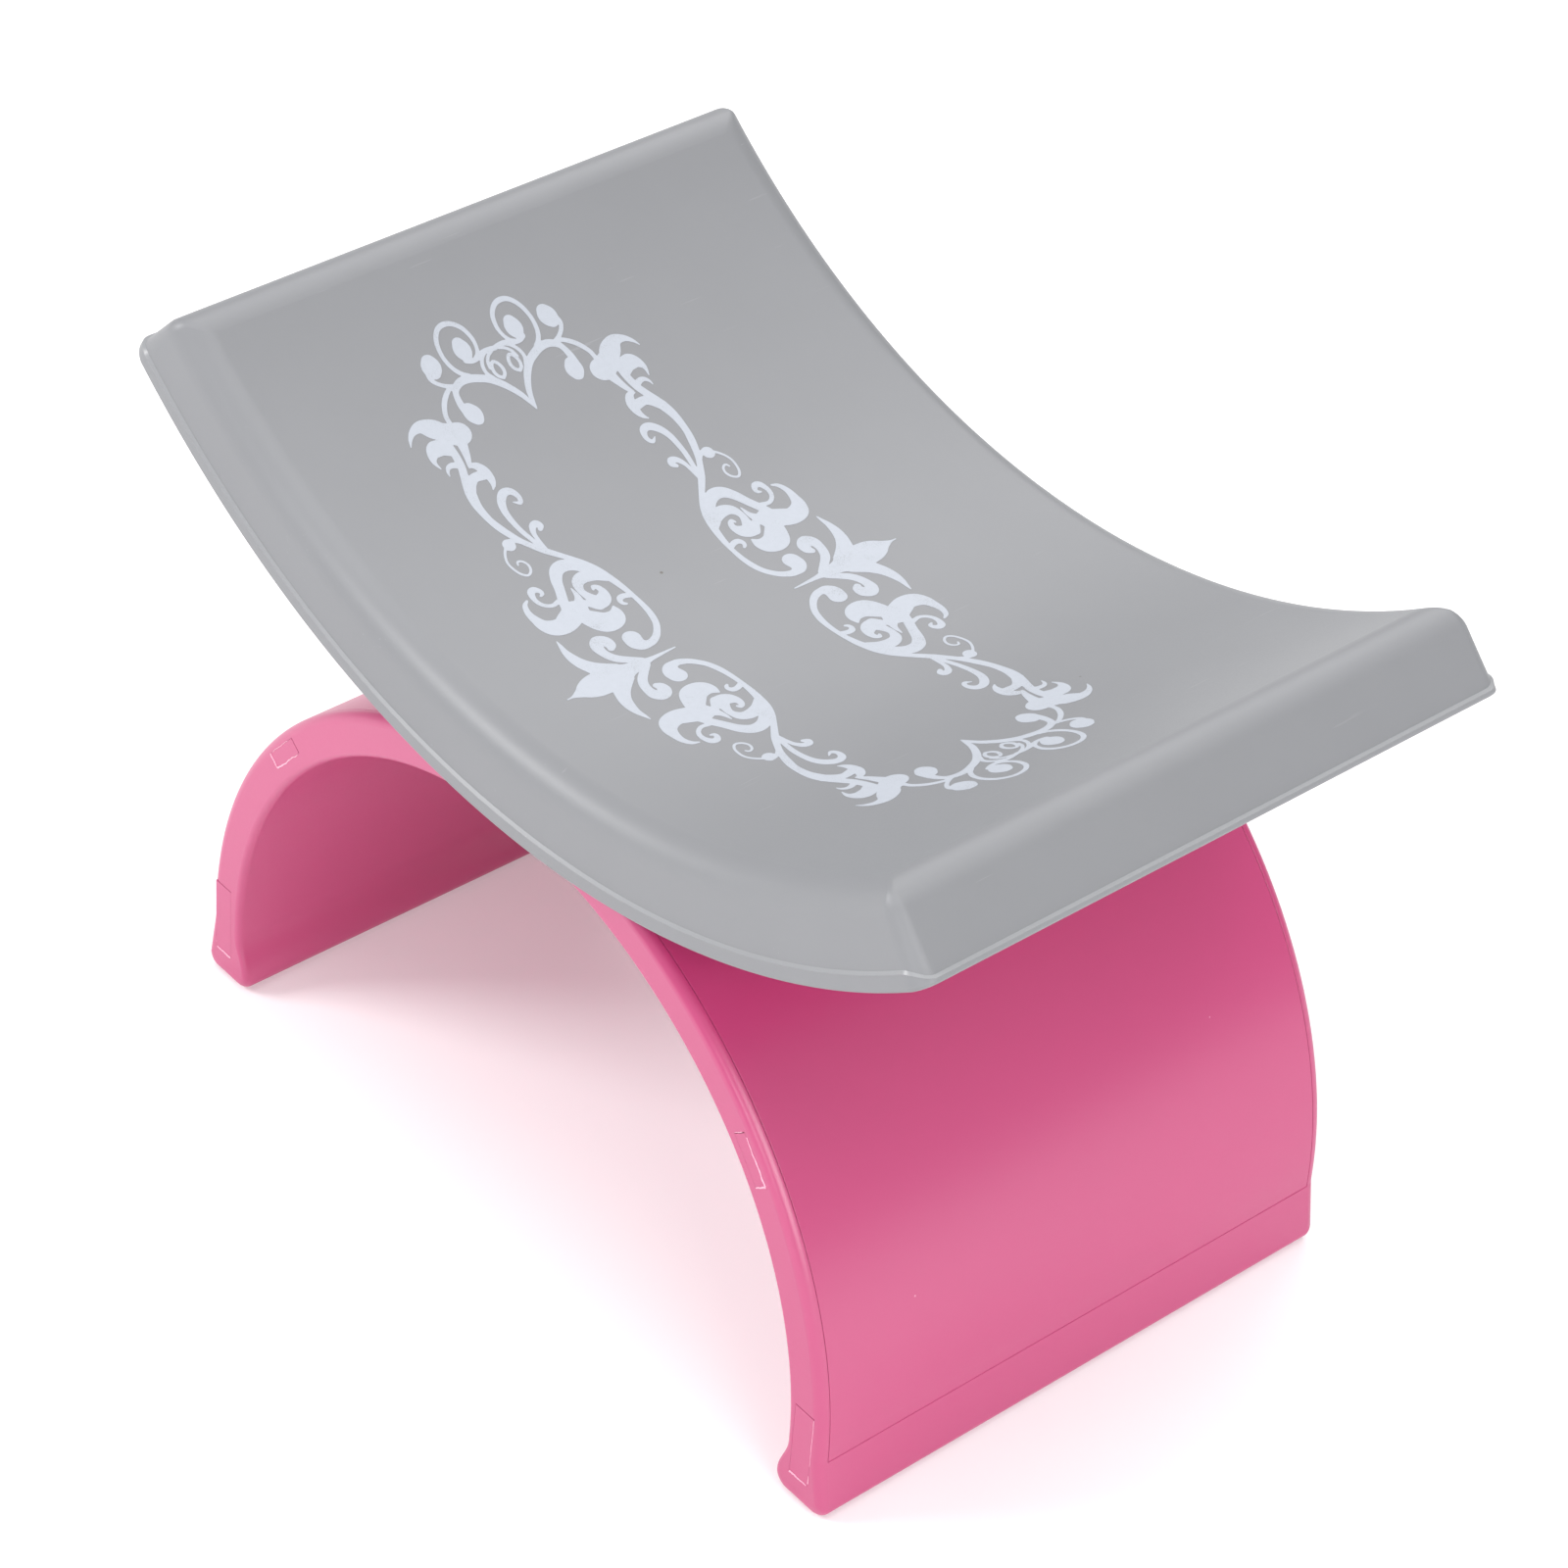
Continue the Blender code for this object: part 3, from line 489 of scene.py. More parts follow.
def combined(piece, steps):
    """Carry out Boolean steps on a piece and leave only its new mesh."""
    guides = []
    for number, (operation, bm) in enumerate(steps):
        guide = place_piece(f"guide_{number}", tidy_mesh(f"guide_{number}", bm))
        guides.append(guide)
        modifier = piece.modifiers.new(guide.name, "BOOLEAN")
        modifier.operation = operation
        modifier.solver = "EXACT"
        modifier.object = guide
    bpy.context.view_layer.update()
    evaluated = piece.evaluated_get(bpy.context.evaluated_depsgraph_get())
    mesh = bpy.data.meshes.new_from_object(evaluated)
    piece.modifiers.clear()
    piece.data = mesh
    for guide in guides:
        bpy.data.objects.remove(guide, do_unlink=True)
    return piece


def dress(piece, material, slot, *replaced, even_normals=True):
    """Give a piece its material and shading, attach it to its body, and hide the imported nodes that it
    stands for; the slot is not used.
    """
    mesh = piece.data
    if len(mesh.materials):
        mesh.materials.clear()
    mesh.materials.append(material)
    mesh.shade_smooth()
    mesh.set_sharp_from_angle(angle=SHARP_ANGLE)
    if even_normals:
        modifier = piece.modifiers.new("even normals", "WEIGHTED_NORMAL")
        modifier.keep_sharp = True
    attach(piece, BODY)
    if replaced:
        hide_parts(*replaced)


def check_size(what, made, packed):
    """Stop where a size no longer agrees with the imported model."""
    if abs(made - packed) > SIZE_TOLERANCE:
        raise RuntimeError(f"{what} is {made:.5f} m, and {packed:.5f} m in the packed model")


# Pad

SKIRT_PARTS = (0.35, 0.7)            # loops from the rolled edge down to the bead's ledge
LEDGE_PARTS = (0, 0.2, 0.5, 0.8, 1)  # loops down the bead's sloping ledge


class PadForm:
    """The pad drawn flat as length, width and depth, and bent about an axis along Y."""

    def __init__(self, sizes):
        self.sizes = sizes
        low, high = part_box("pad_cover")
        self.centre_height = low.z + sizes.depth
        half_width = sizes.width / 2 + sizes.flare + sizes.bead_proud
        check_size("The pad's half width", half_width, high.y)

    def bend(self, along, across, depth):
        """Place a point of the flat pad on the bent one."""
        angle = along / self.sizes.bend_radius
        radius = self.sizes.bend_radius + depth
        axis_height = self.centre_height + self.sizes.bend_radius
        return Vector((radius * math.sin(angle), across, axis_height - radius * math.cos(angle)))

    def stations(self, inset):
        """Length, half width and share of the corner turned, along one side of the outline."""
        sizes = self.sizes
        half_length = sizes.reach / 2 - inset
        half_width = sizes.width / 2 - inset
        radius = max(sizes.corner_radius - inset, sizes.least_radius)
        corner = []
        for step in range(sizes.steps_round + 1):
            angle = math.radians(90.0 * step / sizes.steps_round)
            corner.append((half_length - radius + radius * math.cos(angle),
                           half_width - radius + radius * math.sin(angle),
                           math.cos(angle) ** 2))
        straight = half_length - radius
        side = [(straight - 2 * straight * step / sizes.steps_along, half_width, 0.0)
                for step in range(1, sizes.steps_along)]
        return corner + side + [(-along, wide, part) for along, wide, part in reversed(corner)]

    def ring(self, inset, side_depth, end_depth=None):
        """One closed loop of the bent pad, whose depth may differ between sides and ends."""
        if end_depth is None:
            end_depth = side_depth
        places = [(along, wide, side_depth + (end_depth - side_depth) * part)
                  for along, wide, part in self.stations(inset)]
        return ([self.bend(along, -wide, depth) for along, wide, depth in places]
                + [self.bend(along, wide, depth) for along, wide, depth in reversed(places)])

    def rolled_edge(self, radius, last_depth=None):
        """Inset and depth of a quarter round about the centre of the pad's rolled edge."""
        sizes = self.sizes
        sweep = 90.0
        if last_depth is not None and last_depth < sizes.edge_radius:
            sweep = math.degrees(math.acos(min(1.0, (sizes.edge_radius - last_depth) / radius)))
        quarter = arc((0, 0), radius, 90.0, 90.0 - sweep, sizes.steps_round)
        return [(sizes.edge_radius - across, sizes.edge_radius - up) for across, up in quarter]

    def shell(self, bm, rings):
        """Loft loops, and close the first and the last with strips across the pad."""
        loops = loft(bm, rings)
        for loop in (loops[0], loops[-1]):
            half = len(loop) // 2
            for index in range(half - 1):
                bm.faces.new((loop[index], loop[index + 1], loop[-2 - index], loop[-1 - index]))


def pad_cover_mesh(sizes):
    """Silicone cover with its rolled edge, flared skirt, bead, band and hooked lip."""
    form = PadForm(sizes)
    rings = [form.ring(inset, depth) for inset, depth in form.rolled_edge(sizes.edge_radius)]
    side_bead = sizes.depth - sizes.bead_rise_side
    end_bead = sizes.depth - sizes.bead_rise_end
    half_bead = sizes.bead_width / 2
    band_inset = sizes.band_step - sizes.flare - sizes.bead_proud
    for part in SKIRT_PARTS:
        drops = [sizes.edge_radius + (bead - half_bead - sizes.edge_radius) * part
                 for bead in (side_bead, end_bead)]
        rings.append(form.ring(-sizes.flare * part, *drops))
    ledge = len(rings)
    for part in LEDGE_PARTS:
        out = sizes.flare + sizes.bead_proud * part
        drop = (2 * part - 1) * half_bead
        rings.append(form.ring(-out, side_bead + drop, end_bead + drop))
    rings.append(form.ring(band_inset, side_bead + sizes.bead_width, end_bead + sizes.bead_width))
    for across, down in arc((0, 0), sizes.lip_round, 0.0, 90.0, sizes.steps_round // 2):
        rings.append(form.ring(band_inset + sizes.lip_round - across,
                               sizes.depth - sizes.lip_round + down))
    lip_inset = sizes.skin + sizes.lip_reach
    lip_top = sizes.depth - sizes.lip_thickness
    rings += [form.ring(lip_inset, sizes.depth), form.ring(lip_inset, lip_top),
              form.ring(sizes.skin, lip_top)]
    inner = form.rolled_edge(sizes.edge_radius - sizes.skin)
    rings += [form.ring(inset, depth) for inset, depth in reversed(inner)]
    bm = bmesh.new()
    form.shell(bm, rings)
    around = len(rings[0])
    # The bead's sloping ledge takes the second material: lighter silicone, a painted highlight.
    for face in list(bm.faces)[ledge * around:(ledge + len(LEDGE_PARTS) - 1) * around]:
        face.material_index = 1
    return tidy_mesh("pad_cover_skin", bm)


def pad_foam_mesh(sizes):
    """Foam insert below the top of the cover."""
    form = PadForm(sizes)
    top = sizes.skin + SEAT_GAP
    bottom = top + sizes.foam
    roll = form.rolled_edge(sizes.edge_radius - top, bottom)
    rings = [form.ring(inset, depth) for inset, depth in roll]
    if bottom > sizes.edge_radius:
        rings.append(form.ring(top, bottom))
    bm = bmesh.new()
    form.shell(bm, rings)
    return tidy_mesh("pad_foam_block", bm)


# Screen print

SLIP_REACH = (80, 40)            # half the frame's length and width, in millimetres
JOIN_MILLIMETRES = 0.0001        # border points closer than this are one point
NO_LENGTH = 1e-6                 # millimetres, below which a stretch has no direction

# One quarter of the scroll frame: brush strokes from the frame's middle outwards and upwards,
# as place along the pad, place across it and width of the brush, all in millimetres.
LILY = (
    ((0, 40.8, 0.25), (0, 39.7, 0.5), (0, 38.5, 1.5), (0, 37, 3.0), (0, 35.4, 5.0), (0, 34, 6.1),
     (0, 32.5, 6.4), (0, 30.5, 6.4), (0, 28.5, 5.4), (0, 26.6, 3.8), (0, 24.8, 2.9), (0, 23, 2.3),
     (0, 21.5, 1.5), (0, 20, 1.0), (0, 17.5, 0.65), (0, 14.9, 0.3)),
    ((1.5, 28, 3.0), (3, 30.4, 3.6), (4.7, 31.6, 3.0), (6.5, 32.4, 2.5), (8.5, 32.8, 2.0),
     (10.5, 32.85, 1.3), (12, 32.6, 0.8), (13.5, 32.4, 0.2)),
    ((0.7, 22.5, 1.6), (2, 24.1, 1.7), (3.5, 25.8, 1.9), (5, 26.7, 1.9), (6.8, 27.1, 2.0),
     (8.4, 26.9, 2.5), (9.3, 25.9, 2.8), (8.6, 24.8, 2.7), (7.3, 24.5, 2.1), (6.5, 25, 1.4)),
)
LEAF_SCROLLS = (
    ((18.2, 24, 4.6), (16.9, 26.4, 4.7), (16.1, 28.5, 4.3), (16.5, 30.4, 4.0), (17.9, 31.7, 2.9),
     (19.7, 32.2, 2.0), (22, 32.35, 1.35), (23.9, 31.7, 1.0), (24.7, 30.6, 0.5)),
    ((16.7, 24, 3.0), (14.5, 22.8, 4.4), (12.6, 21.3, 5.2), (12.4, 19.4, 4.4), (13.4, 18, 2.6),
     (15.1, 17.3, 0.5)),
    ((17.2, 23.5, 3.5), (18.9, 22.4, 2.4), (20.7, 21.5, 1.2), (23, 21.2, 0.3)),
    ((16.8, 19.4, 2.4), (18.1, 20.8, 1.6), (19.2, 21.8, 1.5)),
    ((21.7, 13.6, 1.6), (23.4, 15.2, 2.6), (24.15, 17.4, 2.9), (23.5, 19.2, 2.3), (21.5, 20, 1.5),
     (19.4, 19.6, 2.0), (17.5, 18.9, 3.4), (17.8, 17.5, 3.0), (19.2, 16.5, 1.7), (20.6, 16.6, 1.2),
     (21.2, 17.3, 0.9), (20.6, 17.7, 0.5)),
    ((18.9, 25.6, 1.8), (21.2, 24.6, 2.0), (23.7, 23.4, 2.0), (26.2, 22.3, 2.3), (28, 20.8, 2.8),
     (28.4, 19, 3.0), (27.6, 17.3, 2.6), (25.9, 15.6, 2.2)),
    ((21.6, 25.4, 1.1), (21.3, 27, 0.95), (22, 28.3, 0.9), (23.2, 29, 0.95), (24.6, 29.1, 1.1),
     (26, 28.6, 1.5), (26.3, 27.7, 1.5), (25.5, 26.9, 1.0), (24.7, 26.9, 0.8), (24.4, 27.5, 0.5)),
    ((15.8, 12.6, 1.2), (16.3, 13.8, 1.3), (16.2, 14.8, 1.3), (15.4, 15.3, 0.9), (14.7, 15.1, 0.8),
     (14.4, 14.7, 0.6)),
)
STEMS = (
    ((6.6, 19.9, 3.7), (5.2, 20.1, 3.5), (4, 19.5, 2.7), (3.6, 18.3, 1.9), (3.7, 17.2, 1.7),
     (4.5, 15.7, 1.5), (5.8, 14.4, 1.35), (7.5, 13.3, 1.3), (9.7, 12.6, 1.3), (12.2, 12.25, 1.15),
     (15.2, 12.2, 1.05), (18.2, 12.45, 1.3), (21.2, 13, 1.6), (24.2, 13.9, 1.9), (26.7, 15, 1.7),
     (28.8, 16.2, 1.25), (31.2, 18.1, 1.35), (33.2, 19.7, 1.5), (35.2, 21.1, 1.3), (37.2, 22.3, 1.3),
     (39.2, 23.2, 1.45), (41.7, 24.1, 1.6), (44.2, 24.7, 1.5), (47.2, 24.9, 1.75), (49.2, 24.7, 2.1),
     (51.2, 24.2, 2.3), (53.2, 23.6, 2.0), (55.2, 22.9, 1.7), (57.2, 22.2, 1.7), (60.2, 21.8, 1.7),
     (63.2, 22, 1.9), (65.2, 22.3, 2.2)),
    ((33.7, 19.6, 0.9), (36.2, 20.1, 1.0), (39.2, 20.7, 1.1), (42.2, 20.9, 1.25), (44.7, 20.7, 1.45),
     (46.7, 19.9, 1.75), (48.1, 18.5, 1.9), (48.1, 17.1, 1.7), (47.1, 16.3, 1.3), (45.8, 16.1, 1.0),
     (44.8, 16.7, 0.9), (45.6, 17.9, 0.2)),
    ((33.4, 19.2, 0.8), (35.7, 19.1, 0.8), (37.5, 18.9, 1.0), (39, 18.1, 1.4), (39.3, 17.1, 1.7),
     (38.5, 16.6, 1.4), (37.8, 17.1, 0.9)),
    ((51.2, 24.2, 2.4), (52.8, 23, 2.4), (53.6, 21.5, 2.1), (53.5, 20, 2.2), (53.2, 18.9, 2.0)),
    ((49.7, 19.7, 0.2), (50.7, 18.9, 1.0), (52.2, 18.5, 1.7), (54.2, 18.6, 2.0), (55.7, 19.4, 1.7),
     (56.1, 20.2, 1.0), (56, 20.9, 0.4)),
    ((37.3, 25, 2.5), (37.7, 25, 2.5)),
    ((38.3, 24.2, 0.9), (37.7, 23.2, 0.9), (36.9, 22.2, 1.1)),
    ((37.4, 25.9, 0.6), (36.2, 27, 0.55), (34.7, 27.8, 0.5), (33.2, 28, 0.5), (31.2, 27.6, 0.5),
     (30, 26.8, 0.55), (29.8, 26, 0.55), (30.5, 25.1, 0.55), (31.7, 24.7, 0.5), (32.8, 25, 0.5),
     (33.4, 25.7, 0.5), (33.3, 26.2, 0.5), (32.7, 26.5, 0.35)),
)
CORNER_LEAVES = (
    ((57.4, 22.6, 1.4), (57.9, 23.8, 1.3), (57.8, 24.8, 1.0), (57, 25.5, 0.6), (56, 25.7, 0.2)),
    ((60.7, 22.3, 2.0), (62, 23.5, 3.2), (62.4, 24.6, 3.7), (61.8, 25.8, 2.5), (60.5, 26.6, 1.3),
     (59.4, 26.65, 0.7), (58.1, 26.3, 0.2)),
    ((64.7, 20.8, 3.4), (66.2, 22.4, 4.4), (67.6, 24.2, 3.1), (67.8, 25.6, 2.2), (67.3, 27.1, 1.4),
     (66.2, 28.3, 0.8), (64.8, 29.1, 0.2)),
    ((63.3, 18.2, 5.2), (63.6, 19.2, 5.0), (64.8, 20.6, 4.0)),
    ((56.4, 20.6, 0.9), (57.8, 20, 1.3), (59.7, 19.4, 1.8), (61.7, 18.9, 2.4)),
    ((65.7, 18.6, 1.0), (67.7, 18.4, 1.0), (69.7, 17.4, 1.1), (71.2, 16.1, 1.1), (72.4, 14.4, 1.0),
     (72.6, 13, 1.0)),
)
END_CROWN = (
    ((64.6, 12.7, 2.8), (65.8, 12.85, 3.9), (67, 13.1, 3.0)),
    ((66.8, 13.9, 1.8), (68.8, 14, 1.5), (70.9, 13.6, 1.3), (72.2, 12.7, 1.6), (72.9, 11, 1.8),
     (72.8, 9.2, 1.8), (72.2, 7.4, 1.8), (71.1, 5.3, 1.7), (69.4, 3.5, 1.6), (67.3, 2, 1.4),
     (65.3, 0.95, 1.2), (63.4, 0.35, 0.9), (61.5, 0, 0.3)),
    ((72.8, 13.2, 0.8), (73.4, 14.6, 0.9), (74.5, 15.9, 0.9), (75.8, 16.6, 1.0), (77.2, 16.2, 1.6)),
    ((76.8, 15.1, 3.0), (78, 14.95, 4.3), (79.2, 14.8, 3.2)),
    ((73.4, 8.6, 0.9), (74.4, 9.9, 1.0), (76.4, 11, 0.95), (79.2, 11.4, 0.9), (82.2, 10.8, 1.0),
     (84.3, 9.3, 1.1), (84.95, 7.4, 1.2), (84.4, 5.5, 1.1), (82.7, 3.9, 1.0), (80.2, 3.2, 0.9),
     (78.2, 3.4, 0.8), (76.7, 4.1, 0.9), (75.9, 5.2, 1.0)),
    ((76.4, 7.2, 1.3), (75.8, 6.4, 0.9), (75.8, 5.4, 1.1), (76.2, 4, 1.3), (76.6, 2.5, 1.2),
     (76.6, 1, 1.1), (76.4, 0, 1.1)),
    ((77.3, 6.6, 2.6), (78.7, 6.6, 3.9), (80.2, 6.6, 2.7)),
    ((70.7, 4, 0.8), (72.4, 4.85, 0.8), (74.2, 4.6, 0.8), (75.6, 3.7, 0.8), (76.5, 2.4, 0.8)),
    ((70.1, 2.1, 0.75), (70.8, 1.3, 0.75), (72, 1, 0.75), (73.3, 1.35, 0.75), (74, 2.1, 0.75),
     (73.3, 2.9, 0.75), (72, 3.2, 0.75), (70.8, 2.9, 0.75), (70.1, 2.1, 0.75)),
    ((73, 3.5, 0.6), (74.4, 3.1, 0.7), (75.5, 2.2, 0.7), (76.2, 0.9, 0.8)),
)


def smooth_stroke(knots, spacing):
    """Places and widths along a smooth curve through the knots of a brush stroke."""
    knots = [Vector(knot) for knot in knots]
    knots = [2 * knots[0] - knots[1]] + knots + [2 * knots[-1] - knots[-2]]
    places = [knots[1]]
    for before, start, end, after in zip(knots, knots[1:], knots[2:], knots[3:]):
        steps = max(2, math.ceil((end - start).xy.length / spacing))
        for step in range(1, steps + 1):
            t = step / steps
            places.append(0.5 * (2 * start + (end - before) * t
                                 + (2 * before - 5 * start + 4 * end - after) * t ** 2
                                 + (3 * start - before - 3 * end + after) * t ** 3))
    return places


class InkField:
    """How deep inside the ink each point of a square grid lies, for one quarter of the frame."""

    def __init__(self, strokes, step):
        self.step = step
        self.depths = {}
        for stroke in strokes:
            places = smooth_stroke(stroke, 2 * step)
            for start, end in zip(places, places[1:]):
                self.brush(start, end)

    def brush(self, start, end):
        """Lay the brush along a short straight stretch."""
        reach = max(start.z, end.z) / 2 + self.step
        along = (end - start).xy
        square = max(along.length_squared, NO_LENGTH ** 2)
        low = [math.floor((min(start[axis], end[axis]) - reach) / self.step) for axis in (0, 1)]
        high = [math.ceil((max(start[axis], end[axis]) + reach) / self.step) for axis in (0, 1)]
        for i in range(max(low[0], 0), high[0] + 1):
            for j in range(max(low[1], 0), high[1] + 1):
                offset = Vector((i * self.step - start.x, j * self.step - start.y))
                t = min(max(offset.dot(along) / square, 0.0), 1.0)
                depth = (start.z + (end.z - start.z) * t) / 2 - (offset - along * t).length
                if depth > self.depths.get((i, j), -self.step):
                    self.depths[i, j] = depth

    def at(self, i, j):
        """Depth at a grid point of any quarter."""
        return self.depths.get((abs(i), abs(j)), -self.step)

    def between(self, x, y):
        """Depth at any place, by straight lines between the grid points round it."""
        i, j = math.floor(x / self.step), math.floor(y / self.step)
        across, up = x / self.step - i, y / self.step - j
        low = self.at(i, j) * (1 - across) + self.at(i + 1, j) * across
        high = self.at(i, j + 1) * (1 - across) + self.at(i + 1, j + 1) * across
        return low * (1 - up) + high * up

    def cell_pairs(self, i, j):
        """Pairs of cell edges that the ink's border joins inside one cell."""
        corners = [self.at(i, j), self.at(i + 1, j), self.at(i + 1, j + 1), self.at(i, j + 1)]
        edges = [(i, j, 0), (i + 1, j, 1), (i, j + 1, 0), (i, j, 1)]
        crossed = [number for number in range(4)
                   if (corners[number] > 0) != (corners[(number + 1) % 4] > 0)]
        if len(crossed) == 4 and (sum(corners) > 0) == (corners[0] > 0):
            crossed = [0, 1, 2, 3]
        elif len(crossed) == 4:
            crossed = [3, 0, 1, 2]
        return [(edges[crossed[k]], edges[crossed[k + 1]]) for k in range(0, len(crossed), 2)]

    def crossing(self, edge):
        """Place where the ink's border crosses a grid edge."""
        i, j, upright = edge
        near, far = self.at(i, j), self.at(i + 1 - upright, j + upright)
        part = near / (near - far)
        return Vector(((i + part * (1 - upright)) * self.step, (j + part * upright) * self.step))

    def loops(self):
        """Closed borders of the ink in all four quarters."""
        links = {}
        reach = [max(key[axis] for key in self.depths) + 1 for axis in (0, 1)]
        for i in range(-reach[0], reach[0]):
            for j in range(-reach[1], reach[1]):
                for first, second in self.cell_pairs(i, j):
                    links.setdefault(first, []).append(second)
                    links.setdefault(second, []).append(first)
        while links:
            start = next(iter(links))
            loop, here = [], start
            while here in links:
                onward = links.pop(here)
                loop.append(self.crossing(here))
                here = next((edge for edge in onward if edge in links), start)
            yield loop


def thinned(line, tolerance):
    """Leave out points of a line that lie within a tolerance of the straight stretches left."""
    if len(line) < 3:
        return line
    chord = line[-1] - line[0]
    if chord.length > NO_LENGTH:
        misses = [abs(chord.cross(point - line[0])) / chord.length for point in line]
    else:
        misses = [(point - line[0]).length for point in line]
    worst = max(range(len(line)), key=misses.__getitem__)
    if misses[worst] <= tolerance:
        return [line[0], line[-1]]
    return thinned(line[:worst + 1], tolerance)[:-1] + thinned(line[worst:], tolerance)


def slipped(x, y, terms):
    """Millimetres that the ink slipped at a place, from the terms of a smooth surface."""
    a, b = x / SLIP_REACH[0], y / SLIP_REACH[1]
    return sum(term * value for term, value in zip(terms, (1, a, b, a * b, a * a, a * a * b)))


def print_mesh(pad, ink):
    """Thin raised sheet of ink: top, underside, and walls along every border."""
    form = PadForm(pad)
    field = InkField(LILY + LEAF_SCROLLS + STEMS + CORNER_LEAVES + END_CROWN, ink.grid / MILLIMETRE)
    places, edges = [], []
    tolerance = ink.smoothness / MILLIMETRE
    for loop in field.loops():
        half = len(loop) // 2
        loop = (thinned(loop[:half + 1], tolerance)[:-1]
                + thinned(loop[half:] + loop[:1], tolerance)[:-1])
        if len(loop) > 2:
            first = len(places)
            places += loop
            edges += [(first + k, first + (k + 1) % len(loop)) for k in range(len(loop))]
    places, edges, faces = delaunay_2d_cdt(places, edges, [], 0, JOIN_MILLIMETRES, False)[:3]
    inked = []
    for face in faces:
        middle = sum((places[index] for index in face), Vector((0, 0))) / len(face)
        if field.between(*middle) > 0:
            inked.append(tuple(face))
    count = len(places)
    verts = []
    for depth in (-ink.height, -ink.lift):
        for x, y in places:
            along = x * math.cos(ink.turn) - y * (math.sin(ink.turn) + ink.lean)
            across = x * math.sin(ink.turn) + y * math.cos(ink.turn)
            along += slipped(x, y, ink.slip_along)
            across += slipped(x, y, ink.slip_across)
            verts.append(form.bend(along * MILLIMETRE + ink.middle[0],
                                   across * MILLIMETRE + ink.middle[1], depth))
    sides = [side for face in inked for side in zip(face, face[1:] + face[:1])]
    inner = {(end, start) for start, end in sides}
    walls = [(start, start + count, end + count, end) for start, end in sides
             if (start, end) not in inner]
    undersides = [tuple(index + count for index in reversed(face)) for face in inked]
    mesh = bpy.data.meshes.new("pad_print")
    mesh.from_pydata(verts, [], inked + undersides + walls)
    return mesh


# Arch

EDGE_STEPS = 12                  # faces round the edges of the side faces
BEND_SHARE = 8                   # how many times fewer faces the foot's bends have than a quarter
SEAM_STEPS = 3                   # faces round the edges along the seams
STRIP_STEPS = 16                 # faces round each end of a strip's recess
SCREW_STEPS = 32                 # faces round a screw's seat and hole
SCREW_HEAD_HEIGHT = 0.0021
SCREW_SEAT_MARGIN = 0.0007       # seat beyond the head
SCREW_HOLE_RADIUS = 0.0018
HIGH_WINDOW = (0.28, 0.645)      # shares of the arch's thickness, from outside, below the pad
FOOT_WINDOW = (0.205, 0.775)     # the same at the feet
FLASH_STEPS = 36                 # stretches of a thread of flash
FLASH_SIDES = 8
FLASH_SWAY = 0.00009             # how far a thread of flash waves

# Threads of flash on the border of a hook: both ends as shares from the outer to the inner side,
# from the upper to the lower end and of the full radius, and how much the thread waves.
HIGH_FLASH_LEFT = (
    ((1.0, 0.08, 0.5), (1.0, 0.99, 1.0), 0.9),
    ((0.0, 1.0, 0.9), (0.97, 1.0, 1.0), 0.5),
    ((0.0, 0.2, 0.3), (0.0, 0.9, 0.3), 0.4),
)
HIGH_FLASH_RIGHT = (
    ((0.0, 0.1, 0.45), (0.0, 0.99, 1.1), 1.0),
    ((0.0, 1.0, 1.2), (0.95, 1.0, 0.8), 0.5),
    ((0.2, 0.0, 0.5), (0.95, 0.0, 0.3), 0.3),
)
FOOT_FLASH = (
    ((0.08, 1.0, 0.6), (0.98, 1.0, 1.15), 0.5),
    ((0.0, 0.84, 0.35), (0.0, 0.95, 0.7), 0.3),
    ((0.0, 0.02, 0.3), (0.0, 0.7, 0.2), 0.3),
)

# Origin, outward axis, long axis, ends along it, and the depths of the window's two sides.
Hook = namedtuple("Hook", "origin outward along start end root_end outer inner")


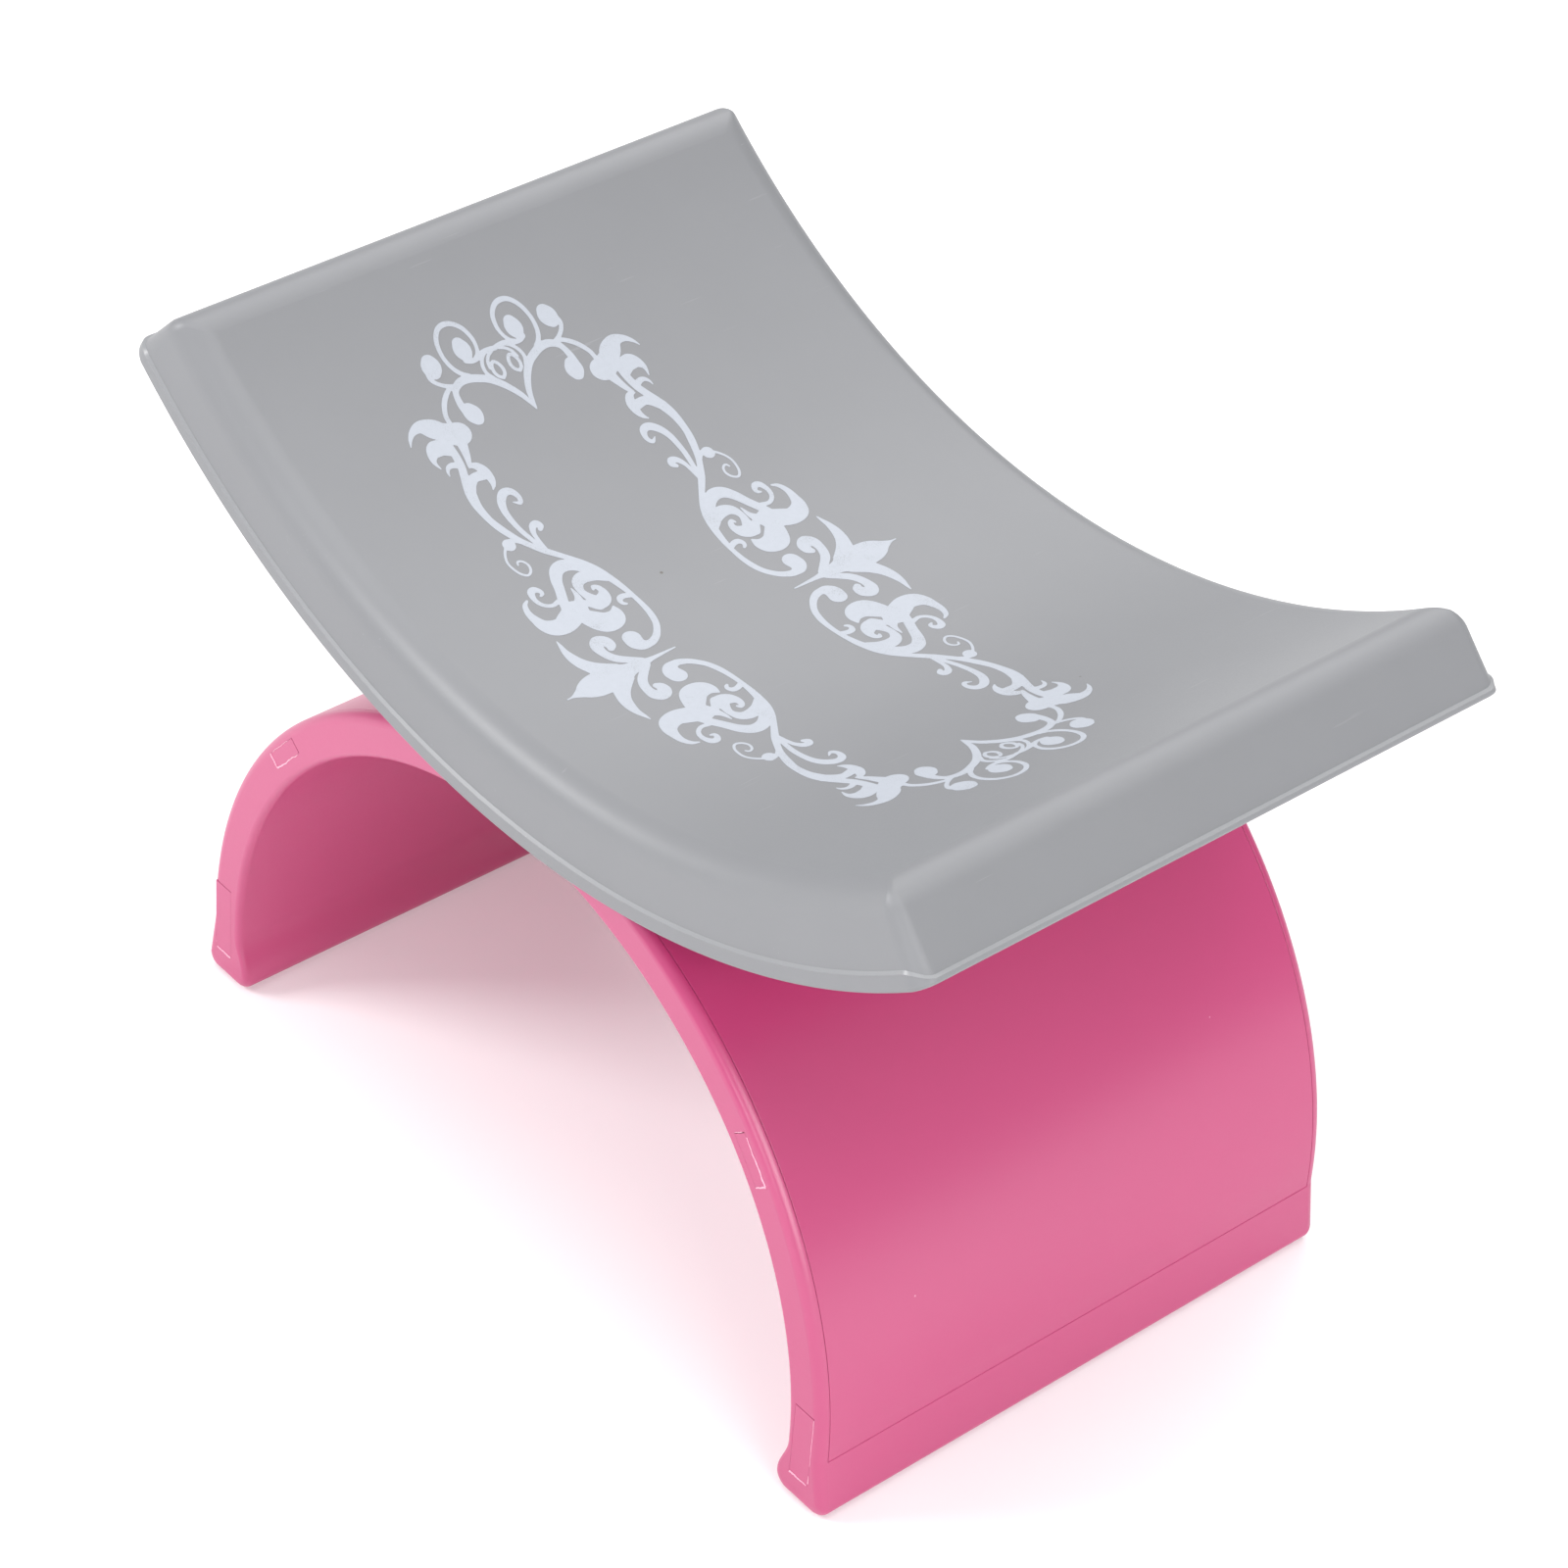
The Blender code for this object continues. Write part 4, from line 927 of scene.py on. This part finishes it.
class ArchForm:
    """The arch as sections in the XZ plane that change with their place along Y."""

    def __init__(self, sizes):
        self.sizes = sizes
        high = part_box("arch_cover")[1]
        self.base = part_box("arch_body")[0].z
        self.half_width = high.y
        self.crown = high.z
        self.spring = high.z - sizes.radius
        self.tunnel_radius = sizes.radius - sizes.thickness
        self.band = self.base + sizes.foot_band
        self.centre = (0, self.spring)
        self.seat_depth = sizes.plate + SEAT_GAP
        check_size("The height of the arch's centre", self.base + sizes.foot_height, self.spring)

    def foot_face(self, height):
        """How far out the foot's leaning outer face stands at a height."""
        low = self.base + self.sizes.foot_round
        return self.sizes.radius + self.sizes.foot_flare * (self.spring - height) / (self.spring - low)

    def tilts(self):
        """Tilt from the crown and whether it lies on a rib, from the crown to the spring line."""
        sizes = self.sizes
        half_rib = sizes.rib / 2 / (self.tunnel_radius + sizes.tunnel_wall)
        ribs = [0.0, sizes.hook_angle - sizes.rib_offset, sizes.hook_angle + sizes.rib_offset]
        marks = [(math.pi / 2 * step / sizes.steps, False) for step in range(sizes.steps + 1)]
        marks = [mark for mark in marks if all(abs(mark[0] - rib) > half_rib for rib in ribs)]
        for rib in ribs:
            start, end = rib - half_rib, rib + half_rib
            marks += [(start, False), (start, True), (end, True), (end, False)]
        marks.sort(key=lambda mark: mark[0])
        return [(0.0, True)] + [mark for mark in marks if mark[0] > 0]

    def half_section(self, edge_inset, channel, drop=0.0, inner_inset=0.0):
        """Right half of the section; the channel is 0 closed, 1 plate seat, 2 hollow bay."""
        sizes = self.sizes
        seat = sizes.radius - self.seat_depth
        bay = self.tunnel_radius + sizes.tunnel_wall
        half = []
        for tilt, on_rib in self.tilts():
            radius = sizes.radius - edge_inset - drop
            if channel:
                radius = bay if channel == 2 and not on_rib else seat
            half.append((radius * math.sin(tilt), self.spring + radius * math.cos(tilt)))
        face = self.foot_face(self.band) - edge_inset
        low = self.base + sizes.foot_floor
        if channel == 2:
            half += [(bay, self.band), (bay, low), (self.foot_face(low) - self.seat_depth, low),
                     (face - self.seat_depth, self.band)]
        elif channel == 1:
            half += [(face - self.seat_depth, self.band)] * 4
        else:
            half += [(face - drop, self.band)] * 4
        corner = sizes.seam_round if channel else drop
        half += [(face - corner, self.band), (face, self.band - corner)]
        floor = self.base + edge_inset
        foot_x = sizes.radius + sizes.foot_flare - edge_inset
        toe_x = self.tunnel_radius - sizes.toe_flare + inner_inset
        steps = sizes.steps // BEND_SHARE
        half += arc((foot_x - sizes.foot_round, floor + sizes.foot_round), sizes.foot_round,
                    0.0, -90.0, steps)
        half += arc((toe_x + sizes.toe_round, floor + sizes.toe_round), sizes.toe_round,
                    -90.0, -180.0, steps)
        low_z, high_x = floor + sizes.toe_round, self.tunnel_radius + inner_inset
        for step in range(1, steps + 3):
            part = step / (steps + 2)
            blend = (1 - math.cos(math.pi * part)) / 2
            half.append((toe_x + (high_x - toe_x) * blend,
                         low_z + (self.base + sizes.toe_height - low_z) * part))
        half += arc(self.centre, high_x, 0.0, 90.0, sizes.steps)
        return half

    def inner_inset(self, inward):
        """How far the rounded edge round the tunnel is drawn in, at a distance from the side face."""
        radius = self.sizes.inner_round
        left = max(radius - inward, 0.0)
        return radius - math.sqrt(radius ** 2 - left ** 2)

    def section(self, y, *shape):
        """Whole section at a place along Y."""
        return whole_section(self.half_section(*shape), y)

    def plate_section(self, y, inset):
        """Section of the outer plate, with its outer face drawn in at the rounded edges."""
        sizes = self.sizes
        end = self.band + sizes.seam_gap
        face = self.foot_face(end)
        half = arc(self.centre, sizes.radius - inset, 90.0, 0.0, sizes.steps)
        half += [(face - inset, end + sizes.seam_round), (face - sizes.seam_round, end),
                 (face - sizes.plate, end)]
        half += arc(self.centre, sizes.radius - sizes.plate, 0.0, 90.0, sizes.steps)
        return whole_section(half, y)

    def hooks(self):
        """Each hook of the plate: left and right, below the pad and at the foot."""
        sizes = self.sizes
        half = sizes.hook_length / 2
        window_top = sizes.foot_hook_base + sizes.foot_hook_length
        plate_end = -sizes.foot_band - 2 * SEAT_GAP
        sine, cosine = math.sin(sizes.hook_angle), math.cos(sizes.hook_angle)
        hooks = []
        for side in (-1, 1):
            high, foot = [[(part + side * sizes.hook_drift) * sizes.thickness for part in window]
                          for window in (HIGH_WINDOW, FOOT_WINDOW)]
            hooks.append(Hook(Vector((0, 0, self.spring)), Vector((side * sine, 0, cosine)),
                              Vector((side * cosine, 0, -sine)), -half, half, half, *high))
            hooks.append(Hook(Vector((0, 0, self.base)), Vector((side, 0, 0)), Vector((0, 0, -1)),
                              -window_top, -sizes.foot_hook_base, plate_end, *foot))
        return hooks

    def side_drop(self, depth):
        """How far the rounded edges of a side face fall away at a depth."""
        edge = self.sizes.edge_round
        into = min(max(edge - depth, 0.0), edge)
        return max(edge - math.sqrt(edge ** 2 - into ** 2),
                   self.inner_inset(max(self.sizes.thickness - depth, 0.0)))

    def on_hook(self, hook, depth, y, offset):
        """A point at a depth below the face, a place along Y and an offset along the hook."""
        return (hook.origin + hook.outward * (self.sizes.radius - depth) + hook.along * offset
                + Vector((0, y, 0)))

    def add_along(self, bm, hook, section, start, end):
        """Extrude a section of depth and Y along a hook's long axis."""
        capped_loft(bm, [[self.on_hook(hook, depth, y, offset) for depth, y in section]
                         for offset in (start, end)])


def whole_section(half, y):
    """Both halves of a section, from its right half."""
    return [(x, y, z) for x, z in half + [(-x, z) for x, z in reversed(half[1:-1])]]


def add_flash(bm, form, hook, side, thread, phase):
    """A wavy thread of flash on the border of a hook's window."""
    tips = [Vector((hook.outer + (hook.inner - hook.outer) * across,
                    hook.start + (hook.end - hook.start) * up)) for across, up, _ in thread[:2]]
    way = tips[1] - tips[0]
    normal = Vector((-way.y, way.x)).normalized()
    # Two waves sway the thread, and a third one makes it thicker and thinner.
    rings = []
    for step in range(FLASH_STEPS + 1):
        part = step / FLASH_STEPS
        sway = math.sin(11 * part + phase) + 0.6 * math.sin(26 * part + 2 * phase)
        middle = tips[0] + way * part + normal * sway * thread[2] * FLASH_SWAY
        fullness = thread[0][2] + (thread[1][2] - thread[0][2]) * part
        radius = form.sizes.flash_radius * fullness * (0.85 + 0.15 * math.sin(37 * part + phase))
        surface = form.half_width - form.side_drop(middle.x)
        ring = []
        for across, out in arc((0, 0), radius, 0, 360, FLASH_SIDES)[:-1]:
            where = middle + normal * across
            ring.append(form.on_hook(hook, where.x, side * (surface + out), where.y))
        rings.append(ring)
    capped_loft(bm, rings)


def hook_flash_mesh(sizes):
    """Threads of flash round the hooks in both side faces, whose lighter colour is a painted highlight.
    """
    form = ArchForm(sizes)
    bm = bmesh.new()
    for number, hook in enumerate(form.hooks()):
        threads = FOOT_FLASH if number % 2 else (HIGH_FLASH_LEFT, HIGH_FLASH_RIGHT)[number // 2]
        for side in (-1, 1):
            for order, thread in enumerate(threads):
                add_flash(bm, form, hook, side, thread, 1.7 * number + 2.3 * side + 0.9 * order)
    return tidy_mesh("hook_flash", bm)


def mirrored_piece(name, rings):
    """A piece lofted from the near half's rings and their mirror images."""
    far = [[(x, -y, z) for x, y, z in ring] for ring in reversed(rings)]
    bm = bmesh.new()
    capped_loft(bm, rings + far)
    return place_piece(name, tidy_mesh(name, bm))


def arch_body_piece(sizes):
    """Tunnel wall, rounded side walls, foot bands, toes and ribs in one moulding."""
    form = ArchForm(sizes)
    half, edge, seam = form.half_width, sizes.edge_round, sizes.seam_round
    rings = []
    for across, inward in arc((0, 0), edge, 0.0, 90.0, EDGE_STEPS):
        rings.append(form.section(edge - half - across, edge - inward, 0, 0.0,
                                  form.inner_inset(edge - across)))
    seat = sizes.rim - half
    for across, down in arc((0, 0), seam, 90.0, 0.0, SEAM_STEPS):
        rings.append(form.section(seat - seam + across, 0.0, 0, seam - down))
    wall = sizes.side_wall - half
    rings += [form.section(seat, 0.0, 1), form.section(wall, 0.0, 1), form.section(wall, 0.0, 2),
              form.section(-sizes.rib / 2, 0.0, 2), form.section(-sizes.rib / 2, 0.0, 1)]
    body = mirrored_piece("arch_body_shell", rings)

    windows = bmesh.new()
    inside = half - sizes.side_wall - sizes.hook_lap
    outside = half + CUT_OVERRUN
    for hook in form.hooks():
        for side in (-1, 1):
            section = [(hook.inner, side * inside), (hook.inner, side * outside),
                       (hook.outer, side * outside), (hook.outer, side * inside)]
            form.add_along(windows, hook, section, hook.start, hook.end)
    recesses = bmesh.new()
    for name in ("foot_strip_left", "foot_strip_right"):
        low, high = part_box(name)
        add_strip_recess(recesses, low, high)
    return combined(body, [("DIFFERENCE", windows), ("DIFFERENCE", recesses)])


def add_strip_recess(bm, low, high):
    """Room for an anti-slip strip, a gap larger than the strip all round."""
    radius = (high.x - low.x) / 2
    middle = (low + high) / 2
    straight = high.y - middle.y - radius
    outline = []
    for side, start in ((1, 0.0), (-1, 180.0)):
        outline += arc((middle.x, middle.y + side * straight), radius + SEAT_GAP,
                       start, start + 180.0, STRIP_STEPS)
    capped_loft(bm, [[(x, y, height) for x, y in outline]
                     for height in (low.z - CUT_OVERRUN, high.z + SEAT_GAP)])


def arch_cover_piece(sizes):
    """Outer plate of the arch with its hooks, screw seats and screw holes."""
    form = ArchForm(sizes)
    half = form.half_width
    seam = sizes.seam_round
    plate_half = half - sizes.rim - sizes.seam_gap
    rings = [form.plate_section(seam - plate_half - across, seam - inward)
             for across, inward in arc((0, 0), seam, 0.0, 90.0, SEAM_STEPS)]
    cover = mirrored_piece("arch_cover_plate", rings)

    lugs, roots = bmesh.new(), bmesh.new()
    gap = sizes.hook_gap
    arm_face = half - sizes.side_wall - SEAT_GAP
    lug_back = half - sizes.side_wall - sizes.hook_lap + SEAT_GAP
    arm_top = sizes.plate + SEAT_GAP
    top, bottom = sizes.plate / 2, sizes.plate + sizes.hook_arm
    for hook in form.hooks():
        outer, inner = hook.outer + gap, hook.inner - gap
        arm_inner = min(inner, sizes.thickness - sizes.tunnel_wall - SEAT_GAP)
        for side in (-1, 1):
            face, back = side * arm_face, side * (arm_face - sizes.hook_arm)
            section = [(arm_inner, back), (arm_inner, side * lug_back)]
            if inner > arm_inner:
                section.append((inner, side * lug_back))
            section += [(inner, side * half), (outer, side * half), (outer, face),
                        (arm_top, face), (arm_top, back)]
            form.add_along(lugs, hook, section, hook.start + sizes.hook_end_gap, hook.end - gap)
            root = [(bottom, back), (bottom, face), (top, face), (top, back)]
            form.add_along(roots, hook, root, hook.start + SEAT_GAP, hook.root_end - SEAT_GAP)
    seats, holes = bmesh.new(), bmesh.new()
    for number in range(1, 5):
        low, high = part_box(f"crown_screw_{number}")
        x, y = (low.x + high.x) / 2, (low.y + high.y) / 2
        head = (high.x - low.x) / 2
        seat_z = low.z + SCREW_HEAD_HEIGHT + SEAT_GAP
        inner_face = form.spring + sizes.radius - sizes.plate
        for target, radius, bottom, top in (
                (seats, head + SCREW_SEAT_MARGIN, seat_z, inner_face),
                (holes, SCREW_HOLE_RADIUS, seat_z - CUT_OVERRUN, form.crown + CUT_OVERRUN)):
            circle = arc((x, y), radius, 0, 360, SCREW_STEPS)[:-1]
            capped_loft(target, [[(a, b, z) for a, b in circle] for z in (bottom, top)])
    return combined(cover, [("UNION", lugs), ("UNION", roots), ("UNION", seats),
                            ("DIFFERENCE", holes)])


# Operators

class HANDREST_OT_pad_cover(Operator):
    """Build the silicone cover of the pad"""

    bl_idname = "handrest.pad_cover"
    bl_label = "Pad cover"

    def execute(self, context):
        pad = context.scene.hand_rest.pad
        piece = place_piece("pad_cover_skin", pad_cover_mesh(pad))
        dress(piece, silicone_paint(pad, "soft_touch_silicone", pad.silicone, 0.0), "grey_silicone",
              "pad_cover")
        # Second material: lighter silicone for the painted highlight on the bead's ledge.
        piece.data.materials.append(silicone_paint(pad, "rubbed_silicone", pad.bead_highlight_silicone, 0.1))
        return {"FINISHED"}


class HANDREST_OT_pad_print(Operator):
    """Print the scroll frame on the pad"""

    bl_idname = "handrest.pad_print"
    bl_label = "Scroll frame"

    def execute(self, context):
        pad, ink = context.scene.hand_rest.pad, context.scene.hand_rest.print
        piece = place_piece("pad_print", print_mesh(pad, ink))
        dress(piece, ink_paint(pad, ink.ink, ink.wear), "grey_silicone", even_normals=False)
        return {"FINISHED"}


class HANDREST_OT_pad_foam(Operator):
    """Build the foam insert under the cover"""

    bl_idname = "handrest.pad_foam"
    bl_label = "Pad foam"

    def execute(self, context):
        pad = context.scene.hand_rest.pad
        piece = place_piece("pad_foam_block", pad_foam_mesh(pad))
        dress(piece, foam_paint(pad.foam_colour), "white_foam", "pad_foam")
        return {"FINISHED"}


class HANDREST_OT_arch(Operator):
    """Build the inner moulding and the outer plate of the arch"""

    bl_idname = "handrest.arch"
    bl_label = "Arch shells"

    def execute(self, context):
        arch = context.scene.hand_rest.arch
        plastic = plastic_paint(arch)
        dress(arch_body_piece(arch), plastic, "pink_plastic", "arch_body")
        dress(arch_cover_piece(arch), plastic, "pink_plastic", "arch_cover")
        paint_node("pad_tray", plastic)
        # Threads of flash in a lighter colour: a painted highlight.
        dress(place_piece("hook_flash", hook_flash_mesh(arch)), flash_highlight_paint(arch.flash), "pink_plastic")
        return {"FINISHED"}


def paint_node(name, material):
    """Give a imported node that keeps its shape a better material."""
    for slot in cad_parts[name].material_slots:
        slot.material = material


class HANDREST_OT_fittings(Operator):
    """Finish the crown screws and the anti-slip strips"""

    bl_idname = "handrest.fittings"
    bl_label = "Screws and strips"

    def execute(self, context):
        fittings = context.scene.hand_rest.fittings
        zinc = zinc_paint(fittings.zinc)
        rubber = rubber_paint(fittings.rubber)
        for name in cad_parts:
            if name.startswith("crown_screw"):
                paint_node(name, zinc)
            elif name.startswith("foot_strip"):
                paint_node(name, rubber)
        return {"FINISHED"}


LIT_POINT = (0, 0, 0.08)

# Name, place, width and height of each light.
LIGHTS = (
    ("key", (-1.35, -1.45, 1.35), 0.9, 0.7),
    ("top", (0.1, 0.1, 2.1), 2.0, 2.0),
    ("fill", (1.9, -0.3, 0.9), 1.4, 1.4),
    ("back", (-1.2, 1.5, 1.5), 1.4, 1.4),
    ("front", (0.8, -1.35, 0.5), 0.5, 0.5),
)


def camera_axes(stage):
    """Right, up and back axes of the rolled camera."""
    a, e, r = stage.azimuth, stage.elevation, stage.roll
    back = Vector((math.sin(a) * math.cos(e), -math.cos(a) * math.cos(e), math.sin(e)))
    level = Vector((math.cos(a), math.sin(a), 0))
    up = back.cross(level)
    return (level * math.cos(r) + up * math.sin(r), up * math.cos(r) - level * math.sin(r), back)


def add_light(name, place, power, wide, high):
    """A rectangular light that faces the hand rest."""
    data = bpy.data.lights.new(name, "AREA")
    data.shape = "RECTANGLE"
    data.size = wide
    data.size_y = high
    data.energy = power
    lamp = place_piece(name, data)
    turned = (Vector(place) - Vector(LIT_POINT)).to_track_quat("Z", "Y").to_matrix().to_4x4()
    lamp.matrix_world = Matrix.Translation(place) @ turned


class HANDREST_OT_stage(Operator):
    """Build the floor, the lights and the camera"""

    bl_idname = "handrest.stage"
    bl_label = "Studio"

    def execute(self, context):
        stage = context.scene.hand_rest.stage
        half = stage.floor_side / 2
        bm = bmesh.new()
        corners = [bm.verts.new((x * half, y * half, 0))
                   for x, y in ((-1, -1), (1, -1), (1, 1), (-1, 1))]
        bm.faces.new(corners)
        floor = place_piece("studio_floor", tidy_mesh("studio_floor", bm))
        floor.data.materials.append(floor_paint(stage.floor, stage.floor_glow))

        for name, place, wide, high in LIGHTS:
            add_light(f"{name}_light", place, getattr(stage, f"{name}_power"), wide, high)

        scene = context.scene
        world = scene.world or bpy.data.worlds.new("surroundings")
        scene.world = world
        world.use_nodes = True
        background = world.node_tree.nodes["Background"]
        background.inputs["Color"].default_value = (1, 1, 1, 1)
        background.inputs["Strength"].default_value = stage.sky

        right, up, back = camera_axes(stage)
        data = bpy.data.cameras.new("studio_camera")
        data.sensor_width = SENSOR_WIDTH
        data.lens = stage.focal_pixels / PHOTO_SIDE * SENSOR_WIDTH
        camera = place_piece("studio_camera", data)
        turned = Matrix((right, up, back)).transposed().to_4x4()
        camera.matrix_world = Matrix.Translation(Vector(stage.target) + back * stage.distance) @ turned
        scene.camera = camera
        scene.view_settings.view_transform = "Standard"
        return {"FINISHED"}


OPERATORS = (HANDREST_OT_pad_cover, HANDREST_OT_pad_print, HANDREST_OT_pad_foam,
             HANDREST_OT_arch, HANDREST_OT_fittings, HANDREST_OT_stage)


class HANDREST_PT_sidebar(Panel):
    """Steps of the hand rest in the sidebar"""

    bl_idname = "HANDREST_PT_sidebar"
    bl_label = "Hand rest"
    bl_space_type = "VIEW_3D"
    bl_region_type = "UI"
    bl_category = "Hand rest"

    def draw(self, context):
        for operator in OPERATORS:
            self.layout.operator(operator.bl_idname)


GROUPS = (PadSizes, PrintSizes, ArchSizes, FittingSizes, StageSettings, HandRestSettings)


def register():
    """Register the settings, the operators and the panel."""
    for kind in GROUPS + OPERATORS + (HANDREST_PT_sidebar,):
        bpy.utils.register_class(kind)
    bpy.types.Scene.hand_rest = PointerProperty(type=HandRestSettings)


def unregister():
    """Take them out again."""
    del bpy.types.Scene.hand_rest
    for kind in reversed(GROUPS + OPERATORS + (HANDREST_PT_sidebar,)):
        bpy.utils.unregister_class(kind)


def main():
    """Build every piece."""
    register()
    bpy.ops.handrest.pad_cover()
    bpy.ops.handrest.pad_print()
    bpy.ops.handrest.pad_foam()
    bpy.ops.handrest.arch()
    bpy.ops.handrest.fittings()
    bpy.ops.handrest.stage()


if __name__ == "__main__":
    main()
